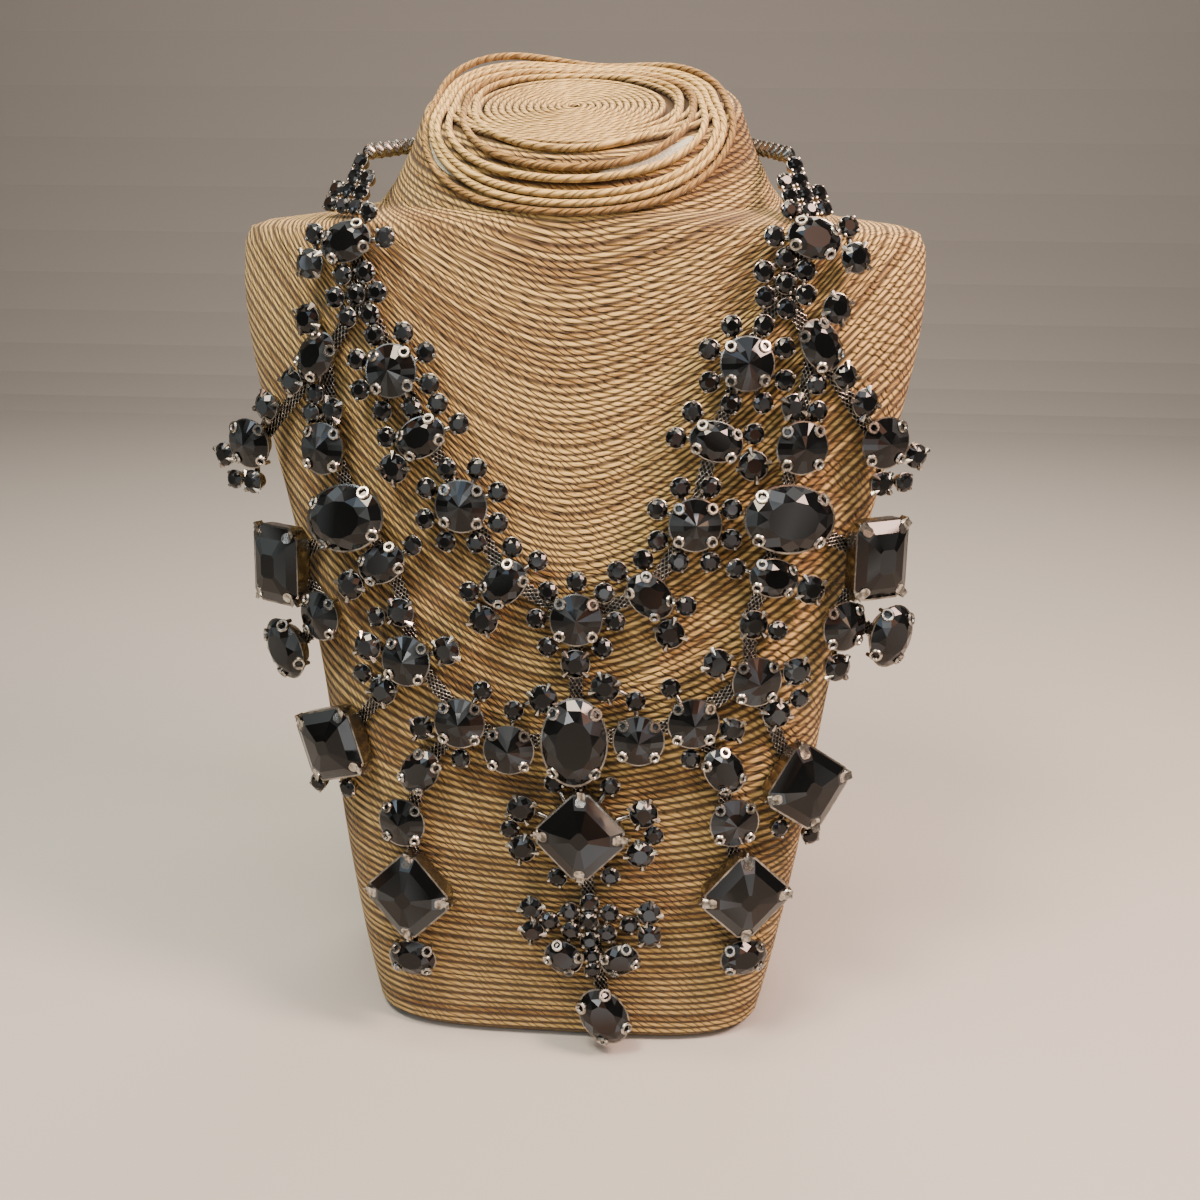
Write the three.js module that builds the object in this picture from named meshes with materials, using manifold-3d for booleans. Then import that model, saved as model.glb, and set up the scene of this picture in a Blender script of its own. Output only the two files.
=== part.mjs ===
// Bib necklace of faceted black glass, worn on a solid neck bust wrapped in twine.
// Millimetres, +Z up. The bust's front faces -Y, and the origin is the middle of its flat base.
import * as THREE from "three";
import { mergeVertices } from "three/addons/utils/BufferGeometryUtils.js";
import Module from "manifold-3d";

// The neck bust
const SHOULDER_WIDTH = 200.5;
const SHOULDER_HEIGHT = 240;
const BASE_DEPTH = 90;
const NECK_WIDTH = 118.5;
const NECK_DEPTH = 74;
const NECK_RISE = 30;
const NECK_TILT = 22; // degrees that the neck's top leans towards the front
const EDGE_ROUND = 3;
const BUST_SIDES = 34;

// The necklace's layers, outwards from the bust
const RIBBON_GAP = 0.8;
const RIBBON_THICK = 1;
const BRANCH_THICK = 0.8; // the ribbon's branches are pulled a little thinner
const RIBBON_WIDTH = 4.6;
const RIBBON_STEP = 14;
const SETTING_GAP = 0.4;
const NECKLACE_TURN = 0.76; // share of the half width past which the bib goes straight on outwards

// Settings
const RIM_GAP = 0.7; // between a main stone's rim and the small settings soldered round it
const BAR_RADIUS = 0.8;
const BAR_LEVEL = 1.2; // the solder bars' middle above the settings' backs
const TAB_WIDTH = 3.4;
const TAB_THICK = 0.8;
const TAB_REACH = 3.6;

// Chain and clasp
const RIM_MEET = 0.15; // how far the rims of packed seed stones run into each other
const CHAIN = { wide: 5.4, thick: 3.6, sides: 8, step: 8 };
const CHAIN_LEVEL = 0.55; // share of the neck's rise where the chain goes round it
const CHAIN_GAP = 1;
const CLASP = { long: 13, wide: 5.5, thick: 3.2 };

// The place that the bib is seen from: straight in front, a little above and to the right.
const EYE = new THREE.Vector3(35, -379.5, SHOULDER_HEIGHT + 10);
const EYE_DOWN = 18; // degrees
const EYE_TURN = 4.15; // degrees
const EYE_ROLL = 0.5; // degrees
const VIEW_DISTANCE = 367; // from the eye to the middle of the bib

const GLASS = new THREE.MeshStandardMaterial({ color: 0x0b0c0d, roughness: 0.08, metalness: 0 });
const GUNMETAL = new THREE.MeshStandardMaterial({ color: 0x6b6a66, roughness: 0.3, metalness: 1 });
const TWINE = new THREE.MeshStandardMaterial({ color: 0xb08f60, roughness: 0.9, metalness: 0 });

// The bust's level sections up to the shoulders, as shares: up of the shoulder height, wide of the
// shoulder width, and front, middle and back of half the base's depth. square is the section's exponent.
const BODY_SECTIONS = [
  { up: 0, wide: 0.605, front: 1, middle: 0, back: 1, square: 4.6 },
  { up: 0.1, wide: 0.66, front: 0.98, middle: 0.03, back: 1, square: 4.2 },
  { up: 0.25, wide: 0.727, front: 0.93, middle: 0.08, back: 1.02, square: 3.5 },
  { up: 0.41, wide: 0.778, front: 0.87, middle: 0.14, back: 1.04, square: 3 },
  { up: 0.6, wide: 0.86, front: 0.78, middle: 0.21, back: 1.07, square: 2.6 },
  { up: 0.77, wide: 0.955, front: 0.67, middle: 0.27, back: 1.1, square: 2.4 },
  { up: 0.86, wide: 0.992, front: 0.6, middle: 0.3, back: 1.11, square: 2.35 },
  { up: 0.92, wide: 1, front: 0.55, middle: 0.31, back: 1.12, square: 2.3 },
  { up: 0.965, wide: 0.992, front: 0.51, middle: 0.32, back: 1.13, square: 2.3 },
  { up: 0.983, wide: 0.972, front: 0.49, middle: 0.33, back: 1.13, square: 2.3 },
  { up: 0.991, wide: 0.915, front: 0.485, middle: 0.33, back: 1.14, square: 2.25 },
  { up: 1, wide: 0.75, front: 0.475, middle: 0.34, back: 1.15, square: 2.1 },
];

// The neck's sections, as shares: rise of its height, wide and deep of its own sizes, tilt of its lean.
const NECK_SECTIONS = [
  { rise: 0.1, wide: 1, deep: 1, tilt: 0.1 },
  { rise: 0.3, wide: 0.92, deep: 1, tilt: 0.3 },
  { rise: 0.6, wide: 0.84, deep: 1, tilt: 0.6 },
  { rise: 0.97, wide: 0.765, deep: 1, tilt: 1 },
  { rise: 1, wide: 0.7, deep: 0.92, tilt: 1 },
];
const NECK_MIDDLE = 0.36; // share of half the base's depth

// The stones with their settings. girdle is where the setting's rim is, table the flat's share of the size.
const STONES = {
  seed: { wide: 5, high: 5, sides: 8, girdle: 2.2, top: 3.3, table: 0.5 },
  chaton: { wide: 5.8, high: 5.8, sides: 8, girdle: 3, top: 4.3, table: 0.5 },
  middle: { wide: 7.1, high: 7.1, sides: 8, girdle: 3.3, top: 4.8, table: 0.5 },
  round: { wide: 8.4, high: 8.4, sides: 8, girdle: 3.6, top: 5.4, table: 0.5 },
  rivoli: { wide: 14.8, high: 14.8, sides: 10, girdle: 4.4, top: 7.2, table: 0.07 },
  oval: { wide: 15, high: 11, sides: 10, girdle: 4.2, top: 6.5, table: 0.5 },
  smallOval: { wide: 12, high: 9.8, sides: 10, girdle: 3.8, top: 5.8, table: 0.5 },
  longOval: { wide: 19, high: 14, sides: 10, girdle: 5, top: 7.8, table: 0.52 },
  largeOval: { wide: 26.4, high: 19.2, sides: 12, girdle: 5.6, top: 9, table: 0.55 },
  square: { wide: 21.4, high: 21.4, corner: 3.4, girdle: 6, top: 9.6, table: 0.2 },
  rectangle: { wide: 17.4, high: 23.4, corner: 3, girdle: 6, top: 9.4, table: 0.3 },
};

// A ring of small settings, evenly spaced from a start angle.
function ring(count, start, stone) {
  return Array.from({ length: count }, (_, i) => ({ stone, angle: start + (360 / count) * i }));
}

// What is soldered round a group's main stone, as on the left side: the right side mirrors it.
// angle is in degrees from the main stone's own right, gap is the space between the rims, and only names
// the one side that has the setting.
const ROUND_OVAL = [
  { stone: "chaton", angle: 36 },
  { stone: "chaton", angle: -8 },
  { stone: "chaton", angle: 152 },
  { stone: "round", angle: 197 },
];
const HALO = ring(8, 22, "chaton");
const ROSETTE = ring(6, 8, "chaton");
const CENTRE_HALO = [
  ...ring(8, 0, "chaton").filter((small) => small.angle !== 270),
  { stone: "round", angle: 270 },
];
const ROUND_COLLAR_OVAL = [
  { stone: "chaton", angle: -12 },
  { stone: "seed", angle: 36 },
  { stone: "chaton", angle: 148 },
  { stone: "round", angle: 189 },
];
const ROUND_SHOULDER_OVAL = [
  { stone: "round", angle: 58, gap: 0.4 },
  { stone: "middle", angle: 170, gap: 0.4 },
  { stone: "chaton", angle: 214 },
];
const ROUND_ARM = [
  { stone: "round", angle: 58, gap: 1.4 },
  { stone: "middle", angle: 203 },
  { stone: "middle", angle: 270 },
  { stone: "chaton", angle: 238, gap: 3.7 },
];
const ROUND_SIDE_STONE = [
  { stone: "middle", angle: 77, gap: 0.5 },
  { stone: "chaton", angle: 116, gap: 0.4 },
];
const ENDS_OF_SMALL_OVAL = [
  { stone: "chaton", angle: 5 },
  { stone: "round", angle: 187 },
];
const UNDER_SIDE_RIVOLI = [{ stone: "round", angle: 275, gap: 0.8, only: "right" }];
const ROUND_OUTER_RIVOLI = [
  { stone: "round", angle: 24, gap: 1.2 },
  { stone: "round", angle: 170 },
  { stone: "round", angle: 236 },
  { stone: "chaton", angle: 204, gap: 4.6 },
];
const UNDER_SQUARE = [
  { stone: "chaton", angle: 224, gap: 1 },
  { stone: "chaton", angle: 266, gap: 1 },
];
const ROUND_LOWER_RIVOLI = [
  { stone: "chaton", angle: 57, gap: 1.6 },
  { stone: "middle", angle: 192 },
  { stone: "chaton", angle: 272 },
];
const ROUND_INNER_RIVOLI = [
  { stone: "chaton", angle: 84, gap: 1.2 },
  { stone: "round", angle: 58, gap: 6.4 },
];
const ROUND_CENTRE_SQUARE = [
  ...[118, 62].map((angle) => ({ stone: "chaton", angle, gap: 3.2 })),
  ...[244, 304].map((angle) => ({ stone: "chaton", angle, gap: 1.4 })),
  ...[158, 22].map((angle) => ({ stone: "round", angle, gap: 3.2 })),
  ...[178, 1].map((angle) => ({ stone: "chaton", angle, gap: 5.2 })),
  ...[197, 343].map((angle) => ({ stone: "round", angle, gap: 1.4 })),
].map((small) => ({ ...small, angle: small.angle - 45 }));

// The centre cluster's settings, across and up from its middle in chaton pitches.
const CLUSTER_PITCH = 6;
const CLUSTER = [
  { stone: "chaton", across: 0, up: 1 },
  { stone: "chaton", across: -1, up: 0.5 },
  { stone: "chaton", across: 1, up: 0.5 },
  { stone: "chaton", across: -0.9, up: -0.55 },
  { stone: "chaton", across: 0.9, up: -0.55 },
  { stone: "chaton", across: 0, up: -1 },
  { stone: "chaton", across: -1.95, up: -0.05 },
  { stone: "chaton", across: 1.95, up: -0.05 },
  { stone: "middle", across: -2.85, up: 0.6 },
  { stone: "middle", across: -2.8, up: -0.62 },
  { stone: "middle", across: 2.9, up: 0.6 },
  { stone: "middle", across: 2.95, up: -0.62 },
  { stone: "smallOval", across: -1.25, up: -1.95, turn: -30 },
  { stone: "smallOval", across: 1.55, up: -1.9, turn: 30 },
  { stone: "seed", across: 0.15, up: -1.9 },
  { stone: "seed", across: 0.15, up: -2.7 },
];

// The groups, with each one's place as it is seen from the eye: across and up from the middle of the view,
// in millimetres at the bib's distance, and its turn in degrees, mirrored on the right.
const GROUPS = [
  { name: "collar_oval", stone: "oval", around: ROUND_COLLAR_OVAL,
    left: { across: -72, up: 101.4, turn: 20 }, right: { across: 61, up: 102.5, turn: 15 } },
  { name: "collar_flower", stone: "chaton", around: ROSETTE,
    left: { across: -69, up: 86.4, turn: 0 }, right: { across: 52.5, up: 89.5, turn: 20 } },
  { name: "neckline_halo_upper", stone: "rivoli", around: HALO,
    left: { across: -59.2, up: 64.5, turn: 8 }, right: { across: 42, up: 66.5, turn: 0 } },
  { name: "neckline_oval_upper", stone: "oval", around: ROUND_OVAL,
    left: { across: -50.6, up: 45.8, turn: 30 }, right: { across: 33, up: 44.5, turn: 15 } },
  { name: "neckline_halo_lower", stone: "rivoli", around: HALO,
    left: { across: -39.5, up: 26.5, turn: 0 }, right: { across: 27, up: 21, turn: 0 } },
  { name: "neckline_oval_lower", stone: "oval", around: ROUND_OVAL,
    left: { across: -27, up: 4.5, turn: 44 }, right: { across: 14, up: 1, turn: 44 } },
  { name: "shoulder_oval", stone: "oval", around: ROUND_SHOULDER_OVAL,
    left: { across: -80.4, up: 68.8, turn: 50 }, right: { across: 62.5, up: 72, turn: 58 } },
  { name: "shoulder_arm", stone: "rivoli", around: ROUND_ARM,
    left: { across: -99.5, up: 44.5, turn: 0 }, right: { across: 81, up: 44.5, turn: 0 } },
  { name: "side_stone", stone: "rivoli", around: ROUND_SIDE_STONE,
    left: { across: -78.5, up: 42.5, turn: 0 }, right: { across: 57.5, up: 43, turn: 0 } },
  { name: "side_large_oval", stone: "largeOval", around: [],
    left: { across: -72, up: 23, turn: 15 }, right: { across: 54, up: 22.5, turn: 5 } },
  { name: "side_rectangle", stone: "rectangle", around: [],
    left: { across: -91.6, up: 10, turn: 0 }, right: { across: 79.5, up: 11.5, turn: 0 } },
  { name: "side_small_oval", stone: "oval", around: ENDS_OF_SMALL_OVAL,
    left: { across: -62, up: 10, turn: 28 }, right: { across: 49, up: 6, turn: 12 } },
  { name: "side_rivoli", stone: "rivoli", around: UNDER_SIDE_RIVOLI,
    left: { across: -79.3, up: -4.5, turn: 0 }, right: { across: 69, up: -7.5, turn: 0 } },
  { name: "side_slant_oval", stone: "longOval", around: [],
    left: { across: -89, up: -13.5, turn: -60 }, right: { across: 82.5, up: -10, turn: -75 } },
  { name: "outer_round", stone: "round", around: [{ stone: "chaton", angle: 197 }],
    left: { across: -56.5, up: -3.5, turn: 0 }, right: { across: 43.5, up: -7, turn: 0 } },
  { name: "outer_rivoli", stone: "rivoli", around: ROUND_OUTER_RIVOLI,
    left: { across: -55, up: -17.5, turn: -4 }, right: { across: 44.5, up: -23, turn: 2 } },
  { name: "outer_square", stone: "square", around: UNDER_SQUARE,
    left: { across: -76.5, up: -40.5, turn: 20 }, right: { across: 59, up: -53, turn: 36 } },
  { name: "lower_rivoli", stone: "rivoli", around: ROUND_LOWER_RIVOLI,
    left: { across: -40, up: -35, turn: 0 }, right: { across: 26.5, up: -35, turn: 0 } },
  { name: "lower_oval", stone: "oval", around: [],
    left: { across: -51, up: -48.5, turn: 55 }, right: { across: 35, up: -48.5, turn: 55 } },
  { name: "drop_rivoli", stone: "rivoli", around: [],
    left: { across: -56, up: -63, turn: 0 }, right: { across: 38, up: -63, turn: 0 } },
  { name: "drop_square", stone: "square", around: [{ stone: "oval", angle: 225, gap: 0.4, turn: -45 }],
    left: { across: -54, up: -84, turn: 45 }, right: { across: 41.5, up: -84, turn: 45 } },
  { name: "inner_rivoli", stone: "rivoli", around: ROUND_INNER_RIVOLI,
    left: { across: -25.9, up: -42.5, turn: 0 }, right: { across: 11, up: -40, turn: 0 } },
  { name: "centre_halo", stone: "rivoli", around: CENTRE_HALO, middle: { across: -7, up: -6, turn: 0 } },
  { name: "centre_oval", stone: "largeOval", around: [], middle: { across: -7.5, up: -40.5, turn: 90 } },
  { name: "centre_square", stone: "square", around: ROUND_CENTRE_SQUARE,
    middle: { across: -5.5, up: -67.5, turn: 45 } },
  { name: "centre_cluster", stone: "chaton", around: CLUSTER, middle: { across: -3, up: -91, turn: 0 } },
  { name: "bottom_oval", stone: "longOval", around: [], middle: { across: 1, up: -118, turn: -58 } },
];

// The groups that the mesh ribbon runs behind, in order, on each side.
const SIDE_ROUTES = [
  ["collar_oval", "collar_flower", "shoulder_oval", "side_stone", "side_large_oval", "side_small_oval",
    "outer_round", "outer_rivoli", "lower_rivoli", "inner_rivoli", "centre_oval"],
  ["collar_flower", "neckline_halo_upper", "neckline_oval_upper", "neckline_halo_lower",
    "neckline_oval_lower", "centre_halo"],
  ["shoulder_oval", "shoulder_arm"],
  ["side_large_oval", "side_rectangle", "side_rivoli", "side_slant_oval"],
  ["outer_rivoli", "outer_square"],
  ["lower_rivoli", "lower_oval", "drop_rivoli", "drop_square"],
];
const MIDDLE_ROUTE = ["centre_halo", "centre_oval", "centre_square", "centre_cluster", "bottom_oval"];

const wasm = await Module();
wasm.setup();
const radians = THREE.MathUtils.degToRad;
const UP = new THREE.Vector3(0, 0, 1);

// A closed body through rings with the same number of points, capped at both ends.
function loft(rings) {
  const count = rings[0].length;
  const last = (rings.length - 1) * count;
  const faces = [];
  for (let start = 0; start < last; start += count) {
    for (let i = 0; i < count; i++) {
      const a = start + i;
      const b = start + ((i + 1) % count);
      faces.push(a, b, b + count, a, b + count, a + count);
    }
  }
  for (let i = 1; i < count - 1; i++) {
    faces.push(0, i + 1, i, last, last + i, last + i + 1);
  }
  return new THREE.BufferGeometry().setFromPoints(rings.flat()).setIndex(faces);
}

// A closed geometry as a solid that can be joined.
function solidOf(geometry) {
  const bare = geometry.clone();
  bare.deleteAttribute("normal");
  bare.deleteAttribute("uv");
  const merged = mergeVertices(bare, 1e-4);
  const corners = merged.index.array;
  const faces = [];
  for (let i = 0; i < corners.length; i += 3) {
    const [a, b, c] = corners.slice(i, i + 3);
    if (a !== b && b !== c && a !== c) faces.push(a, b, c);
  }
  return new wasm.Manifold(
    new wasm.Mesh({
      numProp: 3,
      vertProperties: merged.attributes.position.array,
      triVerts: new Uint32Array(faces),
    }),
  );
}

// Geometries joined into one.
function joined(geometries) {
  const mesh = geometries.map(solidOf).reduce((whole, piece) => whole.add(piece)).getMesh();
  return new THREE.BufferGeometry()
    .setAttribute("position", new THREE.BufferAttribute(mesh.vertProperties, 3))
    .setIndex(new THREE.BufferAttribute(mesh.triVerts, 1));
}

// One column of the body's table at a share of the height, on a smooth curve through its rows.
function bodyShare(column, up) {
  const last = BODY_SECTIONS.length - 1;
  const next = BODY_SECTIONS.findIndex((row, i) => i > 0 && (row.up > up || i === last));
  const [from, to] = [BODY_SECTIONS[next - 1], BODY_SECTIONS[next]];
  const before = BODY_SECTIONS[Math.max(next - 2, 0)];
  const after = BODY_SECTIONS[Math.min(next + 1, last)];
  const span = to.up - from.up;
  const t = THREE.MathUtils.clamp((up - from.up) / span, 0, 1);
  const slopeIn = ((to[column] - before[column]) / (to.up - before.up)) * span;
  const slopeOut = ((after[column] - from[column]) / (after.up - from.up)) * span;
  return (
    (1 + 2 * t) * (1 - t) ** 2 * from[column] +
    t * (1 - t) ** 2 * slopeIn +
    t ** 2 * (3 - 2 * t) * to[column] +
    t ** 2 * (t - 1) * slopeOut
  );
}

// The body's section at a height, in millimetres.
function bodySection(z) {
  const up = z / SHOULDER_HEIGHT;
  const middle = (bodyShare("middle", up) * BASE_DEPTH) / 2;
  return {
    half: (bodyShare("wide", up) * SHOULDER_WIDTH) / 2,
    middle,
    front: (bodyShare("front", up) * BASE_DEPTH) / 2 + middle,
    back: (bodyShare("back", up) * BASE_DEPTH) / 2 - middle,
    square: bodyShare("square", up),
  };
}

// The bib's underside: how far back the bust's front lies at a place across and up.
// Past NECKLACE_TURN it goes straight on outwards, where the side groups reach past the bust's edge.
function chestDepth(x, z) {
  const { half, middle, front, square } = bodySection(z);
  const share = Math.abs(x) / half;
  const held = Math.min(share, NECKLACE_TURN);
  const rest = 1 - held ** square;
  const slope = held ** (square - 1) * rest ** (1 / square - 1);
  return middle - front * (rest ** (1 / square) - slope * (share - held));
}

function chestNormal(x, z) {
  const step = 0.5;
  const acrossSlope = (chestDepth(x + step, z) - chestDepth(x - step, z)) / (2 * step);
  const upSlope = (chestDepth(x, z + step) - chestDepth(x, z - step)) / (2 * step);
  return new THREE.Vector3(acrossSlope, -1, upSlope).normalize();
}

// The place that stands lift above the chest at x and z, with its foot on the chest.
function aboveChest(x, z, lift) {
  let foot = new THREE.Vector3(x, 0, z);
  let normal = chestNormal(x, z);
  for (let i = 0; i < 8; i++) {
    foot = new THREE.Vector3(x - normal.x * lift, 0, z - normal.z * lift);
    normal = chestNormal(foot.x, foot.z);
  }
  foot.y = chestDepth(foot.x, foot.z);
  return { foot, normal, point: foot.clone().addScaledVector(normal, lift) };
}

// Where the line of sight through a place in the view meets the level that stands lift above the chest.
function seen(across, up, lift) {
  const [turn, down] = [radians(EYE_TURN), radians(EYE_DOWN)];
  const ahead = new THREE.Vector3(-Math.sin(turn), Math.cos(turn), 0).multiplyScalar(Math.cos(down));
  ahead.z = -Math.sin(down);
  const right = new THREE.Vector3(Math.cos(turn), Math.sin(turn), 0);
  const above = right.clone().cross(ahead);
  const sight = ahead.clone().multiplyScalar(VIEW_DISTANCE);
  sight.addScaledVector(right.applyAxisAngle(ahead, -radians(EYE_ROLL)), across);
  sight.addScaledVector(above.applyAxisAngle(ahead, -radians(EYE_ROLL)), up);
  let [near, far] = [0.7, 1.4];
  let found;
  for (let i = 0; i < 40; i++) {
    const share = (near + far) / 2;
    const at = EYE.clone().addScaledVector(sight, share);
    found = aboveChest(at.x, at.z, lift);
    if (at.y < found.point.y) near = share;
    else far = share;
  }
  return found;
}

// The outline of a stone at a share of its size: an oval, or a rectangle with cut corners.
function outline(stone, share, z) {
  const [w, h] = [(stone.wide / 2) * share, (stone.high / 2) * share];
  if (stone.corner) {
    const cut = stone.corner * share;
    return [
      [w, -h + cut], [w, h - cut], [w - cut, h], [-w + cut, h],
      [-w, h - cut], [-w, -h + cut], [-w + cut, -h], [w - cut, -h],
    ].map(([x, y]) => new THREE.Vector3(x, y, z));
  }
  return Array.from({ length: stone.sides }, (_, i) => {
    const angle = ((i + 0.5) / stone.sides) * 2 * Math.PI;
    return new THREE.Vector3(w * Math.cos(angle), h * Math.sin(angle), z);
  });
}

// How far a stone's edge is from its middle, in a direction.
function edgeReach(stone, angle) {
  const [c, s] = [Math.abs(Math.cos(angle)), Math.abs(Math.sin(angle))];
  if (stone.corner) {
    const cut = (stone.wide + stone.high) / 2 - stone.corner;
    return Math.min(stone.wide / 2 / c, stone.high / 2 / s, cut / (c + s));
  }
  return 1 / Math.hypot((2 * c) / stone.wide, (2 * s) / stone.high);
}

// The square back of a small round cup, with the rim's eight corners brought together in pairs.
function basketBack(stone) {
  const half = (stone.wide / 2) * 0.62;
  return outline(stone, 1, 0).map((p) => new THREE.Vector3(Math.sign(p.x) * half, Math.sign(p.y) * half, 0));
}

// A stone in its cup. A round or oval cup narrows to the back, a square one has straight walls.
function settingShape(stone) {
  const back = stone.corner ? 0.94 : 0.7;
  return loft([
    stone.sides === 8 ? basketBack(stone) : outline(stone, back, 0),
    outline(stone, 1, stone.corner ? 1.5 : stone.girdle),
    ...(stone.corner ? [outline(stone, 1, stone.girdle)] : []),
    outline(stone, stone.table, stone.top),
  ]);
}

// The four flat tab claws that are bent over a square stone's cut corners.
function tabClaws(stone) {
  const crown = (stone.top - stone.girdle) / ((1 - stone.table) * Math.min(stone.wide, stone.high) * 0.5);
  return [[1, 1], [-1, 1], [-1, -1], [1, -1]].map(([right, up]) => {
    const tab = new THREE.BoxGeometry(TAB_REACH, TAB_WIDTH, TAB_THICK);
    tab.rotateY(Math.atan(crown));
    tab.translate(-TAB_REACH * 0.2, 0, 0);
    tab.rotateZ(Math.atan2(up, right));
    const inset = stone.corner / 2;
    const corner = [right * (stone.wide / 2 - inset), up * (stone.high / 2 - inset), stone.girdle];
    return tab.translate(...corner);
  });
}

// The bar at the back that joins two settings.
function solderBar(from, to) {
  const [x, y] = [to.x - from.x, to.y - from.y];
  const bar = new THREE.CylinderGeometry(BAR_RADIUS, BAR_RADIUS, Math.hypot(x, y), 3);
  bar.rotateZ(-Math.PI / 2).rotateZ(Math.atan2(y, x));
  return bar.translate(from.x + x / 2, from.y + y / 2, BAR_LEVEL);
}

// Where a small setting stands in its group, as on the left: round the main stone, or by its place.
function smallPlace(small, main) {
  if (small.angle === undefined) return { x: small.across * CLUSTER_PITCH, y: small.up * CLUSTER_PITCH };
  const angle = radians(small.angle);
  const reach = edgeReach(main, angle) + edgeReach(STONES[small.stone], 0) + (small.gap ?? RIM_GAP);
  return { x: reach * Math.cos(angle), y: reach * Math.sin(angle) };
}

// A group's settings as one soldered body, its back at z = 0. side is -1 on the left, 1 on the right.
function groupShape(group, side) {
  const main = STONES[group.stone];
  const pieces = [settingShape(main), ...(main.corner ? tabClaws(main) : [])];
  const standing = [{ x: 0, y: 0, radius: (main.wide + main.high) / 4 }];
  const here = side < 0 ? "left" : "right";
  for (const small of group.around.filter(({ only }) => !only || only === here)) {
    const stone = STONES[small.stone];
    const { x, y } = smallPlace(small, main);
    const at = { x: -side * x, y, radius: stone.wide / 2 };
    const space = (other) => Math.hypot(other.x - at.x, other.y - at.y) - other.radius;
    const next = standing.reduce((best, other) => (space(other) < space(best) ? other : best));
    const facing = Math.atan2(at.y - next.y, at.x - next.x);
    const turn = small.turn === undefined ? facing : -side * radians(small.turn);
    pieces.push(settingShape(stone).rotateZ(turn).translate(at.x, y, 0), solderBar(next, at));
    standing.push(at);
  }
  return joined(pieces);
}

// A mesh that stands at a place with its back to a surface, its top turned from upright.
function placed(name, geometry, at, normal, upright, turn) {
  const mesh = new THREE.Mesh(geometry, GLASS);
  const across = new THREE.Vector3().crossVectors(upright, normal).normalize();
  const top = new THREE.Vector3().crossVectors(normal, across);
  mesh.name = name;
  mesh.position.copy(at);
  mesh.quaternion.setFromRotationMatrix(new THREE.Matrix4().makeBasis(across, top, normal));
  mesh.rotateZ(turn);
  return mesh;
}

// The places of all groups, by node name.
function groupPlaces() {
  const backLift = RIBBON_GAP + RIBBON_THICK + SETTING_GAP;
  const places = new Map();
  for (const group of GROUPS) {
    for (const [key, side] of [["left", -1], ["right", 1], ["middle", -1]]) {
      if (!group[key]) continue;
      const { across, up, turn } = group[key];
      const { foot, normal } = seen(across, up, backLift + STONES[group.stone].girdle);
      const at = foot.clone().addScaledVector(normal, backLift);
      const name = key === "middle" ? group.name : group.name + "_" + key;
      places.set(name, { group, side, foot, at, normal, turn: -side * radians(turn) });
    }
  }
  return places;
}

// A flat strip over the chest through the feet of a route's groups, half a width past both ends.
function ribbonRun(feet, thick) {
  const line = new THREE.CurvePath();
  feet.slice(1).forEach((foot, i) => {
    const from = new THREE.Vector2(feet[i].x, feet[i].z);
    line.add(new THREE.LineCurve(from, new THREE.Vector2(foot.x, foot.z)));
  });
  const stations = [];
  line.curves.forEach((leg, i) => {
    const steps = Math.max(1, Math.round(leg.getLength() / RIBBON_STEP));
    for (let k = i === 0 ? 0 : 1; k <= steps; k++) stations.push(leg.getPoint(k / steps));
  });
  const end = stations.length - 1;
  const past = (at, next) => at.clone().add(at.clone().sub(next).setLength(RIBBON_WIDTH / 2));
  stations[0] = past(stations[0], stations[1]);
  stations[end] = past(stations[end], stations[end - 1]);
  const rings = stations.map(({ x, y: z }, i) => {
    const [before, after] = [stations[Math.max(i - 1, 0)], stations[Math.min(i + 1, end)]];
    const normal = chestNormal(x, z);
    const along = new THREE.Vector3(after.x - before.x, 0, after.y - before.y);
    const across = new THREE.Vector3().crossVectors(normal, along).normalize();
    const middle = new THREE.Vector3(x, chestDepth(x, z), z);
    middle.addScaledVector(normal, RIBBON_GAP + RIBBON_THICK / 2);
    return [[1, -1], [1, 1], [-1, 1], [-1, -1]].map(([side, face]) =>
      middle
        .clone()
        .addScaledVector(across, (side * RIBBON_WIDTH) / 2)
        .addScaledVector(normal, (face * thick) / 2),
    );
  });
  return loft(rings);
}

function meshRibbon(places) {
  const footOf = (name, side) => (places.get(name) ?? places.get(name + side)).foot;
  const runs = ["_left", "_right"].flatMap((side) =>
    SIDE_ROUTES.map((route, i) =>
      ribbonRun(route.map((name) => footOf(name, side)), i === 0 ? RIBBON_THICK : BRANCH_THICK),
    ),
  );
  runs.push(ribbonRun(MIDDLE_ROUTE.map((name) => footOf(name, "")), BRANCH_THICK));
  const mesh = new THREE.Mesh(joined(runs), GUNMETAL);
  mesh.name = "mesh_ribbon";
  return mesh;
}

// A point on the neck's surface at a share of its rise: angle 0 is the right side, 90 degrees the back.
function neckPoint(rise, angle) {
  const next = Math.max(1, NECK_SECTIONS.findIndex((row) => row.rise >= rise));
  const [from, to] = [NECK_SECTIONS[next - 1], NECK_SECTIONS[next]];
  const t = (rise - from.rise) / (to.rise - from.rise);
  const mix = (column) => from[column] + (to[column] - from[column]) * t;
  const tilt = radians(mix("tilt") * NECK_TILT);
  const depth = ((mix("deep") * NECK_DEPTH) / 2) * Math.sin(angle);
  return new THREE.Vector3(
    ((mix("wide") * NECK_WIDTH) / 2) * Math.cos(angle),
    (NECK_MIDDLE * BASE_DEPTH) / 2 + depth * Math.cos(tilt),
    SHOULDER_HEIGHT + rise * NECK_RISE + depth * Math.sin(tilt),
  );
}

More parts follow.
